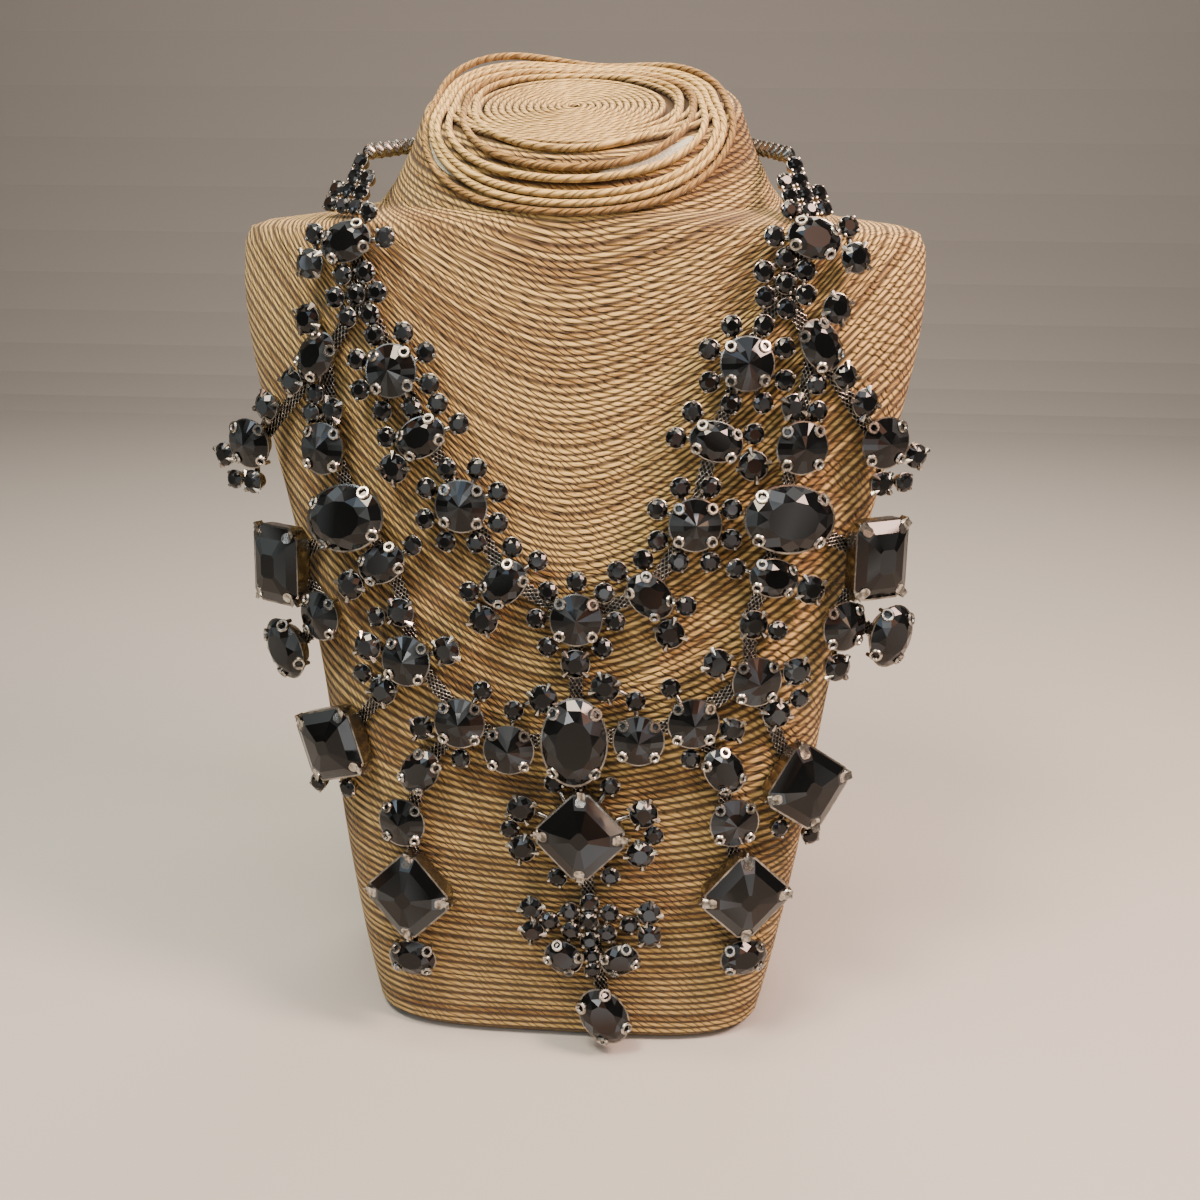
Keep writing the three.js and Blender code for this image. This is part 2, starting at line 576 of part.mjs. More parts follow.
function neckBust() {
  const rings = [];
  const levels = [EDGE_ROUND / SHOULDER_HEIGHT, ...BODY_SECTIONS.slice(1).map((row) => row.up)];
  const ringAt = (up, inset, z) => {
    const { half, middle, front, back, square } = bodySection(up * SHOULDER_HEIGHT);
    return Array.from({ length: BUST_SIDES }, (_, i) => {
      const angle = (i / BUST_SIDES) * 2 * Math.PI;
      const [c, s] = [Math.cos(angle), Math.sin(angle)];
      const x = Math.sign(c) * (half - inset) * Math.abs(c) ** (2 / square);
      const depth = s < 0 ? front : back;
      return new THREE.Vector3(x, middle + Math.sign(s) * (depth - inset) * Math.abs(s) ** (2 / square), z);
    });
  };
  rings.push(ringAt(0, EDGE_ROUND, 0));
  for (const up of levels) rings.push(ringAt(up, 0, up * SHOULDER_HEIGHT));
  for (const { rise } of NECK_SECTIONS) {
    const angles = Array.from({ length: BUST_SIDES }, (_, i) => (i / BUST_SIDES) * 2 * Math.PI);
    rings.push(angles.map((angle) => neckPoint(rise, angle)));
  }
  const mesh = new THREE.Mesh(loft(rings), TWINE);
  mesh.name = "neck_bust";
  return mesh;
}

// How far apart seed stones stand when the flats of their rims just run into each other.
function rimPitch(stone) {
  return stone.wide * Math.cos(Math.PI / stone.sides) - RIM_MEET;
}

// The packed block of seed stones on the shoulder.
function paveShape(side) {
  const pitch = rimPitch(STONES.seed);
  const pieces = PAVE_ROWS.flatMap((columns, row) =>
    columns.map((column) =>
      settingShape(STONES.seed).translate(side * column * pitch, (1.5 - row) * pitch, 0),
    ),
  );
  return joined(pieces);
}

// The pave block's rows from the top, with the columns that each one fills, from the neck outwards.
const PAVE_ROWS = [[0], [-1, 0], [-1, 0, 1], [-1, 0, 1]];

// The pave block stands at the foot of the neck and leans from the shoulder's front edge towards it.
const PAVE_OUT = 2; // how far its middle stands out past the neck's side
const PAVE_AT = { x: NECK_WIDTH / 2 + PAVE_OUT, y: -5.8, z: SHOULDER_HEIGHT + 7.1 };
const PAVE_FACE = { x: 0.35, y: -0.78, z: 0.5 };
const PAVE_TOP = { x: -0.3, y: 0.4, z: 0.8 };

function collarPave(side, name) {
  const at = new THREE.Vector3(side * PAVE_AT.x, PAVE_AT.y, PAVE_AT.z);
  const face = new THREE.Vector3(side * PAVE_FACE.x, PAVE_FACE.y, PAVE_FACE.z).normalize();
  const top = new THREE.Vector3(side * PAVE_TOP.x, PAVE_TOP.y, PAVE_TOP.z).normalize();
  return placed(name, paveShape(side), at, face, top, 0);
}

// Straight out from the neck's axis.
function outOfNeck(at) {
  return new THREE.Vector3(at.x, at.y - (NECK_MIDDLE * BASE_DEPTH) / 2, 0).normalize();
}

// The route of the chain's rims from the pave block round the side of the neck to the clasp.
const CHAIN_START = { x: PAVE_AT.x - 3, y: PAVE_AT.y + 5, z: PAVE_AT.z + 9.5 };
const CHAIN_TURNS = [0.24, 0.38, 0.52, 0.66, 0.78, 0.89, 1]; // shares of the way from the side to the clasp

function chainRoute(side) {
  const points = [new THREE.Vector3(side * CHAIN_START.x, CHAIN_START.y, CHAIN_START.z)];
  const claspEnd = CLASP.long / 2 + SETTING_GAP;
  const last = Math.acos(claspEnd / neckPoint(CHAIN_LEVEL, 0).x);
  for (const share of CHAIN_TURNS) {
    const on = neckPoint(CHAIN_LEVEL, last * share);
    on.addScaledVector(outOfNeck(on), CHAIN_GAP + CHAIN.thick / 2);
    points.push(new THREE.Vector3(side * on.x, on.y, on.z));
  }
  return new THREE.CatmullRomCurve3(points);
}

// The cup chain as one plain strand, flat towards the neck.
function collarChain(side, name) {
  const route = chainRoute(side);
  const steps = Math.round(route.getLength() / CHAIN.step);
  const rings = Array.from({ length: steps + 1 }, (_, i) => {
    const at = route.getPointAt(i / steps);
    const along = route.getTangentAt(i / steps);
    const out = outOfNeck(at);
    out.addScaledVector(along, -out.dot(along)).normalize();
    const across = new THREE.Vector3().crossVectors(along, out);
    return Array.from({ length: CHAIN.sides }, (_, k) => {
      const angle = ((k + 0.5) / CHAIN.sides) * 2 * Math.PI;
      return at
        .clone()
        .addScaledVector(out, (Math.cos(angle) * CHAIN.thick) / 2)
        .addScaledVector(across, (Math.sin(angle) * CHAIN.wide) / 2);
    });
  });
  const mesh = new THREE.Mesh(loft(rings), GLASS);
  mesh.name = name;
  return mesh;
}

function clasp() {
  const half = CLASP.wide / 2;
  const profile = new THREE.Shape();
  profile.absarc(CLASP.long / 2 - half, 0, half, -Math.PI / 2, Math.PI / 2);
  profile.absarc(-CLASP.long / 2 + half, 0, half, Math.PI / 2, (3 * Math.PI) / 2);
  const shape = new THREE.ExtrudeGeometry(profile, {
    depth: CLASP.thick, bevelEnabled: false, curveSegments: 8,
  });
  const on = neckPoint(CHAIN_LEVEL, Math.PI / 2);
  const mesh = placed("clasp", shape, on, new THREE.Vector3(0, 1, 0), UP, 0);
  mesh.position.y += CHAIN_GAP;
  mesh.material = GUNMETAL;
  return mesh;
}

const necklace = new THREE.Group();
const places = groupPlaces();
necklace.add(neckBust(), meshRibbon(places), clasp());
for (const [name, place] of places) {
  const shape = groupShape(place.group, place.side);
  necklace.add(placed(name, shape, place.at, place.normal, UP, place.turn));
}
for (const [key, side] of [["left", -1], ["right", 1]]) {
  necklace.add(collarPave(side, "collar_pave_" + key));
  necklace.add(collarChain(side, "collar_chain_" + key));
}

export default necklace;
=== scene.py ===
# Bib necklace of claw-set black glass on a woven metal ribbon, shown on a neck bust wrapped in jute twine.
# Metres, +Z up. The chest faces -Y, and the origin is the middle of the bust's flat base.
import bisect
import math
import random

import bmesh
import bpy
from mathutils import Matrix, Vector


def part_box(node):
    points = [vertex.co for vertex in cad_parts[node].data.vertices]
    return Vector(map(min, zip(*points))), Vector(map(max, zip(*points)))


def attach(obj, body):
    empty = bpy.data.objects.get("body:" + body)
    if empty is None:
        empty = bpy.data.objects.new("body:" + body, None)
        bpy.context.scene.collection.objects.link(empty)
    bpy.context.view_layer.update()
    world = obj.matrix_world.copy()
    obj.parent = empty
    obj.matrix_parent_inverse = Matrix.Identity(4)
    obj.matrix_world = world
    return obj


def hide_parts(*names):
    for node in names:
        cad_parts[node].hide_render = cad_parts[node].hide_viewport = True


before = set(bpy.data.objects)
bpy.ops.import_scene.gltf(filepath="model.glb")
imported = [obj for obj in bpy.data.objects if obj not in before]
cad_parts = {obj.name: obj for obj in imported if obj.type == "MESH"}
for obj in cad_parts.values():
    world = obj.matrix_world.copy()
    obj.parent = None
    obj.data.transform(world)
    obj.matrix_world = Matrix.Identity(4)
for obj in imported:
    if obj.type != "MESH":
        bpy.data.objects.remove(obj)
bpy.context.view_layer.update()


# Camera and studio. The photograph looks down a little on the bust from straight in front, with the
# bust slightly left of the lens. A pale paper sweep runs from under the bust up behind it.
MM = 0.001
EYE = Vector((35, -379.5, 250)) * MM
EYE_DOWN = math.radians(18)
EYE_TURN = math.radians(4.15)
EYE_ROLL = math.radians(0.5)
LENS_MM = 38.94
SWEEP_WIDTH = 6.0
SWEEP_FRONT = -2.5
SWEEP_BACK = 1.6
SWEEP_HIGH = 3.0
SWEEP_CURVE = 0.6
SWEEP_STEPS = 12
PAPER_GREY = "#b7b4ae"
ROOM_GREY = "#b8b4ad"
ROOM_LIGHT = 0.26


def add_node(tree, kind, links=(), **settings):
    """A shader node with its settings. An input takes a value, a socket, or a node's first output."""
    node = tree.nodes.new(kind)
    for key, value in settings.items():
        setattr(node, key, value)
    for socket, source in dict(links).items():
        if isinstance(source, bpy.types.Node):
            source = source.outputs[0]
        if isinstance(source, bpy.types.NodeSocket):
            tree.links.new(source, node.inputs[socket])
        else:
            node.inputs[socket].default_value = source
    return node


def linear(hex_colour):
    """A #rrggbb colour as linear light, with full alpha."""
    parts = [int(hex_colour[i : i + 2], 16) / 255 for i in (1, 3, 5)]
    return [p / 12.92 if p <= 0.04045 else ((p + 0.055) / 1.055) ** 2.4 for p in parts] + [1.0]


def new_material(name):
    material = bpy.data.materials.new(name)
    material.use_nodes = True
    material.node_tree.nodes.clear()
    return material, material.node_tree


camera = bpy.data.objects.new("camera", bpy.data.cameras.new("camera"))
camera.data.lens = LENS_MM
camera.data.sensor_width = 36
camera.data.clip_start = 0.01
ahead = Vector(
    (-math.sin(EYE_TURN) * math.cos(EYE_DOWN), math.cos(EYE_TURN) * math.cos(EYE_DOWN), -math.sin(EYE_DOWN))
)
level_right = Vector((math.cos(EYE_TURN), math.sin(EYE_TURN), 0))
roll = Matrix.Rotation(-EYE_ROLL, 3, ahead)
view_right = roll @ level_right
view_up = roll @ level_right.cross(ahead)
camera.matrix_world = Matrix.Translation(EYE) @ Matrix((view_right, view_up, -ahead)).transposed().to_4x4()
bpy.context.collection.objects.link(camera)
bpy.context.scene.camera = camera

paper, paper_tree = new_material("matt_paper")
paper_shader = add_node(
    paper_tree, "ShaderNodeBsdfPrincipled", {"Base Color": linear(PAPER_GREY), "Roughness": 0.85}
)
add_node(paper_tree, "ShaderNodeOutputMaterial", {"Surface": paper_shader})

curve_start = SWEEP_BACK - SWEEP_CURVE
sweep_line = [(SWEEP_FRONT, 0.0), (curve_start, 0.0)]
for step in range(1, SWEEP_STEPS + 1):
    angle = math.pi / 2 * step / SWEEP_STEPS
    sweep_line.append((curve_start + SWEEP_CURVE * math.sin(angle), SWEEP_CURVE * (1 - math.cos(angle))))
sweep_line.append((SWEEP_BACK, SWEEP_HIGH))
sweep_mesh = bpy.data.meshes.new("paper_sweep")
sweep_mesh.from_pydata(
    [(side * SWEEP_WIDTH / 2, y, z) for y, z in sweep_line for side in (-1, 1)],
    [],
    [(2 * i, 2 * i + 1, 2 * i + 3, 2 * i + 2) for i in range(len(sweep_line) - 1)],
)
sweep_mesh.materials.append(paper)
sweep = bpy.data.objects.new("paper_sweep", sweep_mesh)
bpy.context.collection.objects.link(sweep)

# The softboxes light the bust. The strips and panels stand round the camera for the facets to mirror.
LIGHTS = [  # name, place, what it looks at, width and height in metres, watts, colour
    ("key_softbox", (-0.2, -0.34, 0.8), (0, 0, 0.24), 0.26, 0.2, 7.4, "#ffecd0"),
    ("fill_softbox", (0.46, -0.2, 0.62), (0.04, 0, 0.23), 0.2, 0.22, 9.4, "#ffd2be"),
    ("top_strip", (0.0, -0.02, 0.95), (0, 0, 0.15), 0.6, 0.12, 3.6, "#fff0d8"),
    ("sky_panel", (0.0, -0.55, 1.35), (0, 0, 0.15), 1.1, 0.5, 5, "#dfe9f5"),
    ("back_softbox", (0.12, 0.6, 0.86), (0, 0, 0.12), 0.4, 0.3, 4.5, "#fff2e4"),
    ("low_strip", (0.0, -0.9, 0.12), (0, 0, 0.15), 0.5, 0.04, 0.3, "#ffffff"),
    ("left_strip", (-0.75, -0.55, 0.5), (0, 0, 0.15), 0.05, 0.4, 0.7, "#cfe0f2"),
    ("right_strip", (0.8, -0.65, 0.45), (0, 0, 0.15), 0.05, 0.4, 0.7, "#ffd2ae"),
    ("front_strip", (-0.22, -0.95, 0.62), (0, 0, 0.15), 0.28, 0.04, 0.5, "#ffffff"),
    ("high_strip", (0.35, -0.8, 0.85), (0, 0, 0.15), 0.24, 0.04, 0.7, "#ffffff"),
    ("blue_panel", (-0.4, -1.0, 1.0), (0, 0, 0.15), 0.3, 0.36, 1.5, "#b4cfe8"),
    ("pale_panel", (0.1, -1.1, 0.98), (0, 0, 0.15), 0.2, 0.3, 1.1, "#dfe6ea"),
    ("rose_panel", (0.6, -0.9, 0.72), (0, 0, 0.15), 0.24, 0.3, 1.1, "#e6a98c"),
    ("dusk_panel", (-0.75, -0.7, 0.75), (0, 0, 0.15), 0.16, 0.3, 0.8, "#a9bccb"),
]
for name, place, target, wide, high, watts, colour in LIGHTS:
    lamp = bpy.data.lights.new(name, "AREA")
    lamp.shape = "RECTANGLE"
    lamp.size, lamp.size_y, lamp.energy = wide, high, watts
    lamp.color = linear(colour)[:3]
    softbox = bpy.data.objects.new(name, lamp)
    softbox.location = place
    softbox.rotation_euler = (Vector(target) - Vector(place)).to_track_quat("-Z", "Y").to_euler()
    bpy.context.collection.objects.link(softbox)

studio = bpy.data.worlds.new("studio")
studio.use_nodes = True
studio.node_tree.nodes.clear()
room = add_node(
    studio.node_tree, "ShaderNodeBackground", {"Color": linear(ROOM_GREY), "Strength": ROOM_LIGHT}
)
add_node(studio.node_tree, "ShaderNodeOutputWorld", {"Surface": room})
bpy.context.scene.world = studio


# The neck bust. A solid foam body wrapped in one layer of two-ply jute twine, laid by hand in close rows
# that hang in a U over the chest and run level round the foot. The rows are glued down.
SHOULDER_WIDTH = 200.5 * MM
SHOULDER_HEIGHT = 240 * MM
BASE_DEPTH = 90 * MM
NECK_WIDTH = 118.5 * MM
NECK_DEPTH = 74 * MM
NECK_RISE = 30 * MM
NECK_TILT = math.radians(22)
NECK_MIDDLE = 0.36 * BASE_DEPTH / 2
EDGE_ROUND = 3 * MM
ROWS = 128
ROW_STEPS = 4
COLUMNS = 180
ROW_DEPTH = 1.15 * MM
ROW_SWING = 0.165  # how far a row rises at the sides, as a share of the way from the foot to the neck's top
SWING_FROM = 0.2  # up to this share of the way the rows lie level
SWING_MOST = 0.62  # and here they hang the deepest
SLIP = 0.1  # how far a row lies out of its place, as a share of its width
WAVE = 0.07  # and how far it wanders up and down on its way round
TWIST_PITCH = 6.2 * MM  # one turn of the two plies, a little coarser than the real one so that it shows

BODY_SECTIONS = [  # shares: up, wide, front, middle, back, and the section's exponent
    dict(up=0, wide=0.605, front=1, middle=0, back=1, square=4.6),
    dict(up=0.1, wide=0.66, front=0.98, middle=0.03, back=1, square=4.2),
    dict(up=0.25, wide=0.727, front=0.93, middle=0.08, back=1.02, square=3.5),
    dict(up=0.41, wide=0.778, front=0.87, middle=0.14, back=1.04, square=3),
    dict(up=0.6, wide=0.86, front=0.78, middle=0.21, back=1.07, square=2.6),
    dict(up=0.77, wide=0.955, front=0.67, middle=0.27, back=1.1, square=2.4),
    dict(up=0.86, wide=0.992, front=0.6, middle=0.3, back=1.11, square=2.35),
    dict(up=0.92, wide=1, front=0.55, middle=0.31, back=1.12, square=2.3),
    dict(up=0.965, wide=0.992, front=0.51, middle=0.32, back=1.13, square=2.3),
    dict(up=0.983, wide=0.972, front=0.49, middle=0.33, back=1.13, square=2.3),
    dict(up=0.991, wide=0.915, front=0.485, middle=0.33, back=1.14, square=2.25),
    dict(up=1, wide=0.75, front=0.475, middle=0.34, back=1.15, square=2.1),
]
NECK_SECTIONS = [  # shares: rise, wide, deep, and tilt of the neck's lean
    dict(rise=0.1, wide=1, deep=1, tilt=0.1),
    dict(rise=0.3, wide=0.92, deep=1, tilt=0.3),
    dict(rise=0.6, wide=0.84, deep=1, tilt=0.6),
    dict(rise=0.97, wide=0.765, deep=1, tilt=1),
    dict(rise=1, wide=0.7, deep=0.92, tilt=1),
]


def body_share(column, up):
    """One column of the body's table at a share of the height, on a smooth curve through its rows."""
    last = len(BODY_SECTIONS) - 1
    after_row = next((i for i in range(1, last + 1) if BODY_SECTIONS[i]["up"] > up or i == last), last)
    start, end = BODY_SECTIONS[after_row - 1], BODY_SECTIONS[after_row]
    before = BODY_SECTIONS[max(after_row - 2, 0)]
    after = BODY_SECTIONS[min(after_row + 1, last)]
    span = end["up"] - start["up"]
    t = min(max((up - start["up"]) / span, 0), 1)
    slope_in = (end[column] - before[column]) / (end["up"] - before["up"]) * span
    slope_out = (after[column] - start[column]) / (after["up"] - start["up"]) * span
    return (
        (1 + 2 * t) * (1 - t) ** 2 * start[column]
        + t * (1 - t) ** 2 * slope_in
        + t**2 * (3 - 2 * t) * end[column]
        + t**2 * (t - 1) * slope_out
    )


def body_section(z):
    """Half width, middle, depth to the front and to the back, and the section's exponent at a height."""
    up = z / SHOULDER_HEIGHT
    middle = body_share("middle", up) * BASE_DEPTH / 2
    return (
        body_share("wide", up) * SHOULDER_WIDTH / 2,
        middle,
        body_share("front", up) * BASE_DEPTH / 2 + middle,
        body_share("back", up) * BASE_DEPTH / 2 - middle,
        body_share("square", up),
    )


def body_ring(z, inset, count):
    """The outline of the body at a height, pulled in by the inset, from the right side round the back."""
    half, middle, front, back, square = body_section(z)
    ring = []
    for i in range(count):
        c, s = math.cos(2 * math.pi * i / count), math.sin(2 * math.pi * i / count)
        depth = front if s < 0 else back
        x = math.copysign((half - inset) * abs(c) ** (2 / square), c)
        y = middle + math.copysign((depth - inset) * abs(s) ** (2 / square), s)
        ring.append(Vector((x, y, z)))
    return ring


def neck_point(rise, angle):
    """A point on the neck: angle 0 is the right side, a quarter turn the back."""
    after_row = next((i for i in range(1, len(NECK_SECTIONS)) if NECK_SECTIONS[i]["rise"] >= rise), 1)
    start, end = NECK_SECTIONS[after_row - 1], NECK_SECTIONS[after_row]
    t = (rise - start["rise"]) / (end["rise"] - start["rise"])
    wide, deep, lean = (start[key] + (end[key] - start[key]) * t for key in ("wide", "deep", "tilt"))
    depth = deep * NECK_DEPTH / 2 * math.sin(angle)
    return Vector(
        (
            wide * NECK_WIDTH / 2 * math.cos(angle),
            NECK_MIDDLE + depth * math.cos(lean * NECK_TILT),
            SHOULDER_HEIGHT + rise * NECK_RISE + depth * math.sin(lean * NECK_TILT),
        )
    )


def lengths_along(points):
    """The length so far at each point of a line."""
    lengths = [0.0]
    for a, b in zip(points, points[1:]):
        lengths.append(lengths[-1] + (b - a).length)
    return lengths


def leg_at(lengths, want):
    """Which leg of a line a length falls on, and the share of the way along that leg."""
    k = min(bisect.bisect_left(lengths, want, 1), len(lengths) - 1) - 1
    return k, (want - lengths[k]) / (lengths[k + 1] - lengths[k])


def even_ring(ring, count):
    """The same closed ring with evenly spaced points, from the middle of the back round to the left."""
    start = len(ring) // 4
    ring = ring[start:] + ring[:start] + [ring[start]]
    lengths = lengths_along(ring)
    points = []
    for i in range(count):
        k, share = leg_at(lengths, lengths[-1] * i / count)
        points.append(ring[k].lerp(ring[k + 1], share))
    return points


FORM_POINTS = 720
FORM_LEVELS = 30
form_rings = [body_ring(0, EDGE_ROUND, FORM_POINTS)]
body_levels = [EDGE_ROUND / SHOULDER_HEIGHT] + [row["up"] for row in BODY_SECTIONS[1:]]
for low, high in zip(body_levels, body_levels[1:]):
    pieces = max(1, round((high - low) * FORM_LEVELS))
    for k in range(pieces):
        up = low + (high - low) * k / pieces
        form_rings.append(body_ring(up * SHOULDER_HEIGHT, 0, FORM_POINTS))
form_rings.append(body_ring(SHOULDER_HEIGHT, 0, FORM_POINTS))
for row in NECK_SECTIONS:
    form_rings.append(
        [neck_point(row["rise"], 2 * math.pi * i / FORM_POINTS) for i in range(FORM_POINTS)]
    )
form_rings = [even_ring(ring, COLUMNS) for ring in form_rings]


def form_column(column):
    """The profile of one column from the foot to the neck's top, with its length so far at each point."""
    points = [ring[column] for ring in form_rings]
    return points, lengths_along(points)


def on_column(points, lengths, share):
    """The place on a column at a share of the way from the foot to the neck's top."""
    k, on_leg = leg_at(lengths, min(max(share, 0), 1) * lengths[-1])
    return points[k].lerp(points[k + 1], on_leg)


random.seed(11)
row_slips = [random.uniform(-SLIP, SLIP) for _ in range(ROWS + 1)]
row_phases = [random.uniform(0, 2 * math.pi) for _ in range(ROWS + 1)]
columns = [form_column(i) for i in range(COLUMNS)]
levels = ROWS * ROW_STEPS
wrap = []
for level in range(levels + 1):
    row, step = divmod(level, ROW_STEPS)
    flat_share = level / levels
    if flat_share < SWING_MOST:
        hang = max(0.0, (flat_share - SWING_FROM) / (SWING_MOST - SWING_FROM))
    else:
        hang = (1 - flat_share) / (1 - SWING_MOST)
    swing = ROW_SWING * math.sin(math.pi / 2 * hang) ** 2
    line = []
    for i, (points, lengths) in enumerate(columns):
        around = i / COLUMNS
        rise = swing * math.sin(2 * math.pi * around) ** 2
        slip = 0.0
        if 0 < level < levels:
            slip = WAVE * math.sin(3 * 2 * math.pi * around + row_phases[row]) + row_slips[row]
        line.append(on_column(points, lengths, flat_share + rise + slip / ROWS))
    wrap.append(line)

wrap_bm = bmesh.new()
for line in wrap:
    for point in line:
        wrap_bm.verts.new(point)
wrap_bm.verts.ensure_lookup_table()
uv_layer = wrap_bm.loops.layers.uv.new("twine_run")
for level in range(levels):
    if level % ROW_STEPS == 0:
        around_row = sum((wrap[level][i] - wrap[level][i - 1]).length for i in range(COLUMNS))
        twists = round(around_row / TWIST_PITCH)
    for i in range(COLUMNS):
        a, b = level * COLUMNS + i, level * COLUMNS + (i + 1) % COLUMNS
        face = wrap_bm.faces.new([wrap_bm.verts[k] for k in (a, b, b + COLUMNS, a + COLUMNS)])
        face.smooth = True
        for loop, (du, dv) in zip(face.loops, ((0, 0), (1, 0), (1, 1), (0, 1))):
            loop[uv_layer].uv = ((i + du) / COLUMNS * twists, (level + dv) / ROW_STEPS)
wrap_bm.faces.new([wrap_bm.verts[i] for i in reversed(range(COLUMNS))])
wrap_bm.faces.new([wrap_bm.verts[levels * COLUMNS + i] for i in range(COLUMNS)])

# Between two grooves each row is rounded outwards, so the grooves are sunk in a half circle across a row.
wrap_bm.normal_update()
outwards = [v.normal.copy() for v in wrap_bm.verts]
for v, normal in zip(wrap_bm.verts, outwards):
    level = v.index // COLUMNS
    across = level % ROW_STEPS / ROW_STEPS
    if 0 < level < levels:
        v.co -= normal * ROW_DEPTH * (1 - math.sqrt(max(0.0, 1 - (2 * across - 1) ** 2)))

TWINE_LIGHT = "#dab870"
TWINE_MID = "#94713a"
# The darkest colour is painted shade, laid in the grooves and at the foot.
TWINE_PAINTED_SHADE = "#2c1907"
PLY_SLANT = 0.64  # how much of a twist a ply goes on by on its way across a row
PATCH_SIZE = 28.6 * MM  # stretches of the twine that are darker or lighter
FOOT_SHADE_AND_BROWN = 0.66  # darker towards the foot, up to the height below: painted shade of the light from above falling off, and partly a darker brown
FOOT_SHADE_TOP = 130 * MM


def set_ramp(ramp, stops):
    """Gives a colour ramp its stops, each a position and a colour."""
    elements = ramp.color_ramp.elements
    for i, (position, colour) in enumerate(stops):
        element = elements[i] if i < 2 else elements.new(position)
        element.position = position
        element.color = linear(colour)


def jute_twine():
    """Spun jute: dull straw-brown fibres, two plies twisted so that each row shows slanting bars, with
    painted shade in the grooves.
    """
    material, tree = new_material("jute_twine")
    run = add_node(tree, "ShaderNodeUVMap", uv_map="twine_run")
    parts = add_node(tree, "ShaderNodeSeparateXYZ", {0: run})
    within = add_node(tree, "ShaderNodeMath", {0: parts.outputs["Y"]}, operation="FRACT")
    row_number = add_node(tree, "ShaderNodeMath", {0: parts.outputs["Y"]}, operation="FLOOR")
    row_draw = add_node(tree, "ShaderNodeTexWhiteNoise", {"W": row_number}, noise_dimensions="1D")
    started = add_node(tree, "ShaderNodeMath", {0: row_draw, 1: parts.outputs["X"]}, operation="ADD")
    wander = add_node(
        tree, "ShaderNodeTexNoise", {"W": started, "Scale": 0.6, "Detail": 1.0}, noise_dimensions="1D"
    )
    wandered = add_node(tree, "ShaderNodeMath", {0: wander, 1: 1.1, 2: started}, operation="MULTIPLY_ADD")
    slant = add_node(
        tree, "ShaderNodeMath", {0: within, 1: PLY_SLANT, 2: wandered}, operation="MULTIPLY_ADD"
    )
    ply_run = add_node(tree, "ShaderNodeMath", {0: slant, 1: 2.0}, operation="MULTIPLY")
    ply = add_node(tree, "ShaderNodeMath", {0: ply_run}, operation="FRACT")
    ply_side = add_node(tree, "ShaderNodeMath", {0: ply, 1: 0.5}, operation="SUBTRACT")
    ply_out = add_node(tree, "ShaderNodeMath", {0: ply_side}, operation="ABSOLUTE")
    ply_round = add_node(
        tree, "ShaderNodeMapRange", {0: ply_out, 1: 0.2, 2: 0.5, 3: 1.0, 4: 0.0},
        interpolation_type="SMOOTHSTEP",
    )
    fibre_place = add_node(tree, "ShaderNodeCombineXYZ", {0: slant, 1: parts.outputs["X"], 2: row_number})
    fibre_scale = add_node(tree, "ShaderNodeMapping", {0: fibre_place, 3: (15.0, 2.6, 7.3)})
    fibres = add_node(
        tree, "ShaderNodeTexNoise", {0: fibre_scale, "Scale": 1.0, "Detail": 3.0, "Roughness": 0.6}
    )
    place = add_node(tree, "ShaderNodeTexCoord").outputs["Object"]
    patches = add_node(tree, "ShaderNodeTexNoise", {0: place, "Scale": 1 / PATCH_SIZE, "Detail": 2.0})
    tint = add_node(tree, "ShaderNodeMix", {0: 0.4, 2: patches, 3: row_draw}, data_type="FLOAT")
    shade = add_node(tree, "ShaderNodeMath", {0: fibres, 1: tint}, operation="ADD")
    straw = add_node(tree, "ShaderNodeValToRGB", {0: shade})
    set_ramp(straw, [(0.8, TWINE_MID), (1.0, TWINE_LIGHT)])
    # Painted shade: the colour goes towards the darkest twine colour in the grooves between rows and between
    # the two plies.
    edge = add_node(tree, "ShaderNodeMath", {0: within, 1: 0.5}, operation="SUBTRACT")
    edge_out = add_node(tree, "ShaderNodeMath", {0: edge}, operation="ABSOLUTE")
    groove_shade = add_node(
        tree, "ShaderNodeMapRange", {0: edge_out, 1: 0.06, 2: 0.41, 3: 1.0, 4: 0.0},
        interpolation_type="SMOOTHSTEP",
    )
    ply_shade = add_node(tree, "ShaderNodeMapRange", {0: ply_round, 1: 0.0, 2: 1.0, 3: 0.5, 4: 1.0})
    relief_shade = add_node(tree, "ShaderNodeMath", {0: groove_shade, 1: ply_shade}, operation="MULTIPLY")
    deep = add_node(tree, "ShaderNodeMapRange", {0: relief_shade, 1: 0.0, 2: 0.85, 3: 0.08, 4: 1.0})
    # Painted shade: the colour darkens towards the foot, where the light from above falls off; partly the
    # twine's darker brown there.
    height = add_node(tree, "ShaderNodeSeparateXYZ", {0: place}).outputs["Z"]
    foot_darkening = add_node(tree, "ShaderNodeMapRange", {0: height, 1: 0.0, 2: FOOT_SHADE_TOP, 3: FOOT_SHADE_AND_BROWN, 4: 1.0})
    shade_mix = add_node(tree, "ShaderNodeMath", {0: deep, 1: foot_darkening}, operation="MULTIPLY")
    colour = add_node(tree, "ShaderNodeMix", {0: shade_mix, 6: linear(TWINE_PAINTED_SHADE), 7: straw}, data_type="RGBA")
    relief = add_node(tree, "ShaderNodeMath", {0: fibres, 1: 0.35, 2: ply_round}, operation="MULTIPLY_ADD")
    bump = add_node(tree, "ShaderNodeBump", {"Height": relief, "Distance": 0.5 * MM, "Strength": 1.0})
    shader = add_node(
        tree, "ShaderNodeBsdfPrincipled",
        {
            "Base Color": colour.outputs[2], "Roughness": 0.82, "Sheen Weight": 0.1, "Sheen Roughness": 0.4,
            "Normal": bump,
        },
    )
    add_node(tree, "ShaderNodeOutputMaterial", {"Surface": shader})
    return material


jute = jute_twine()


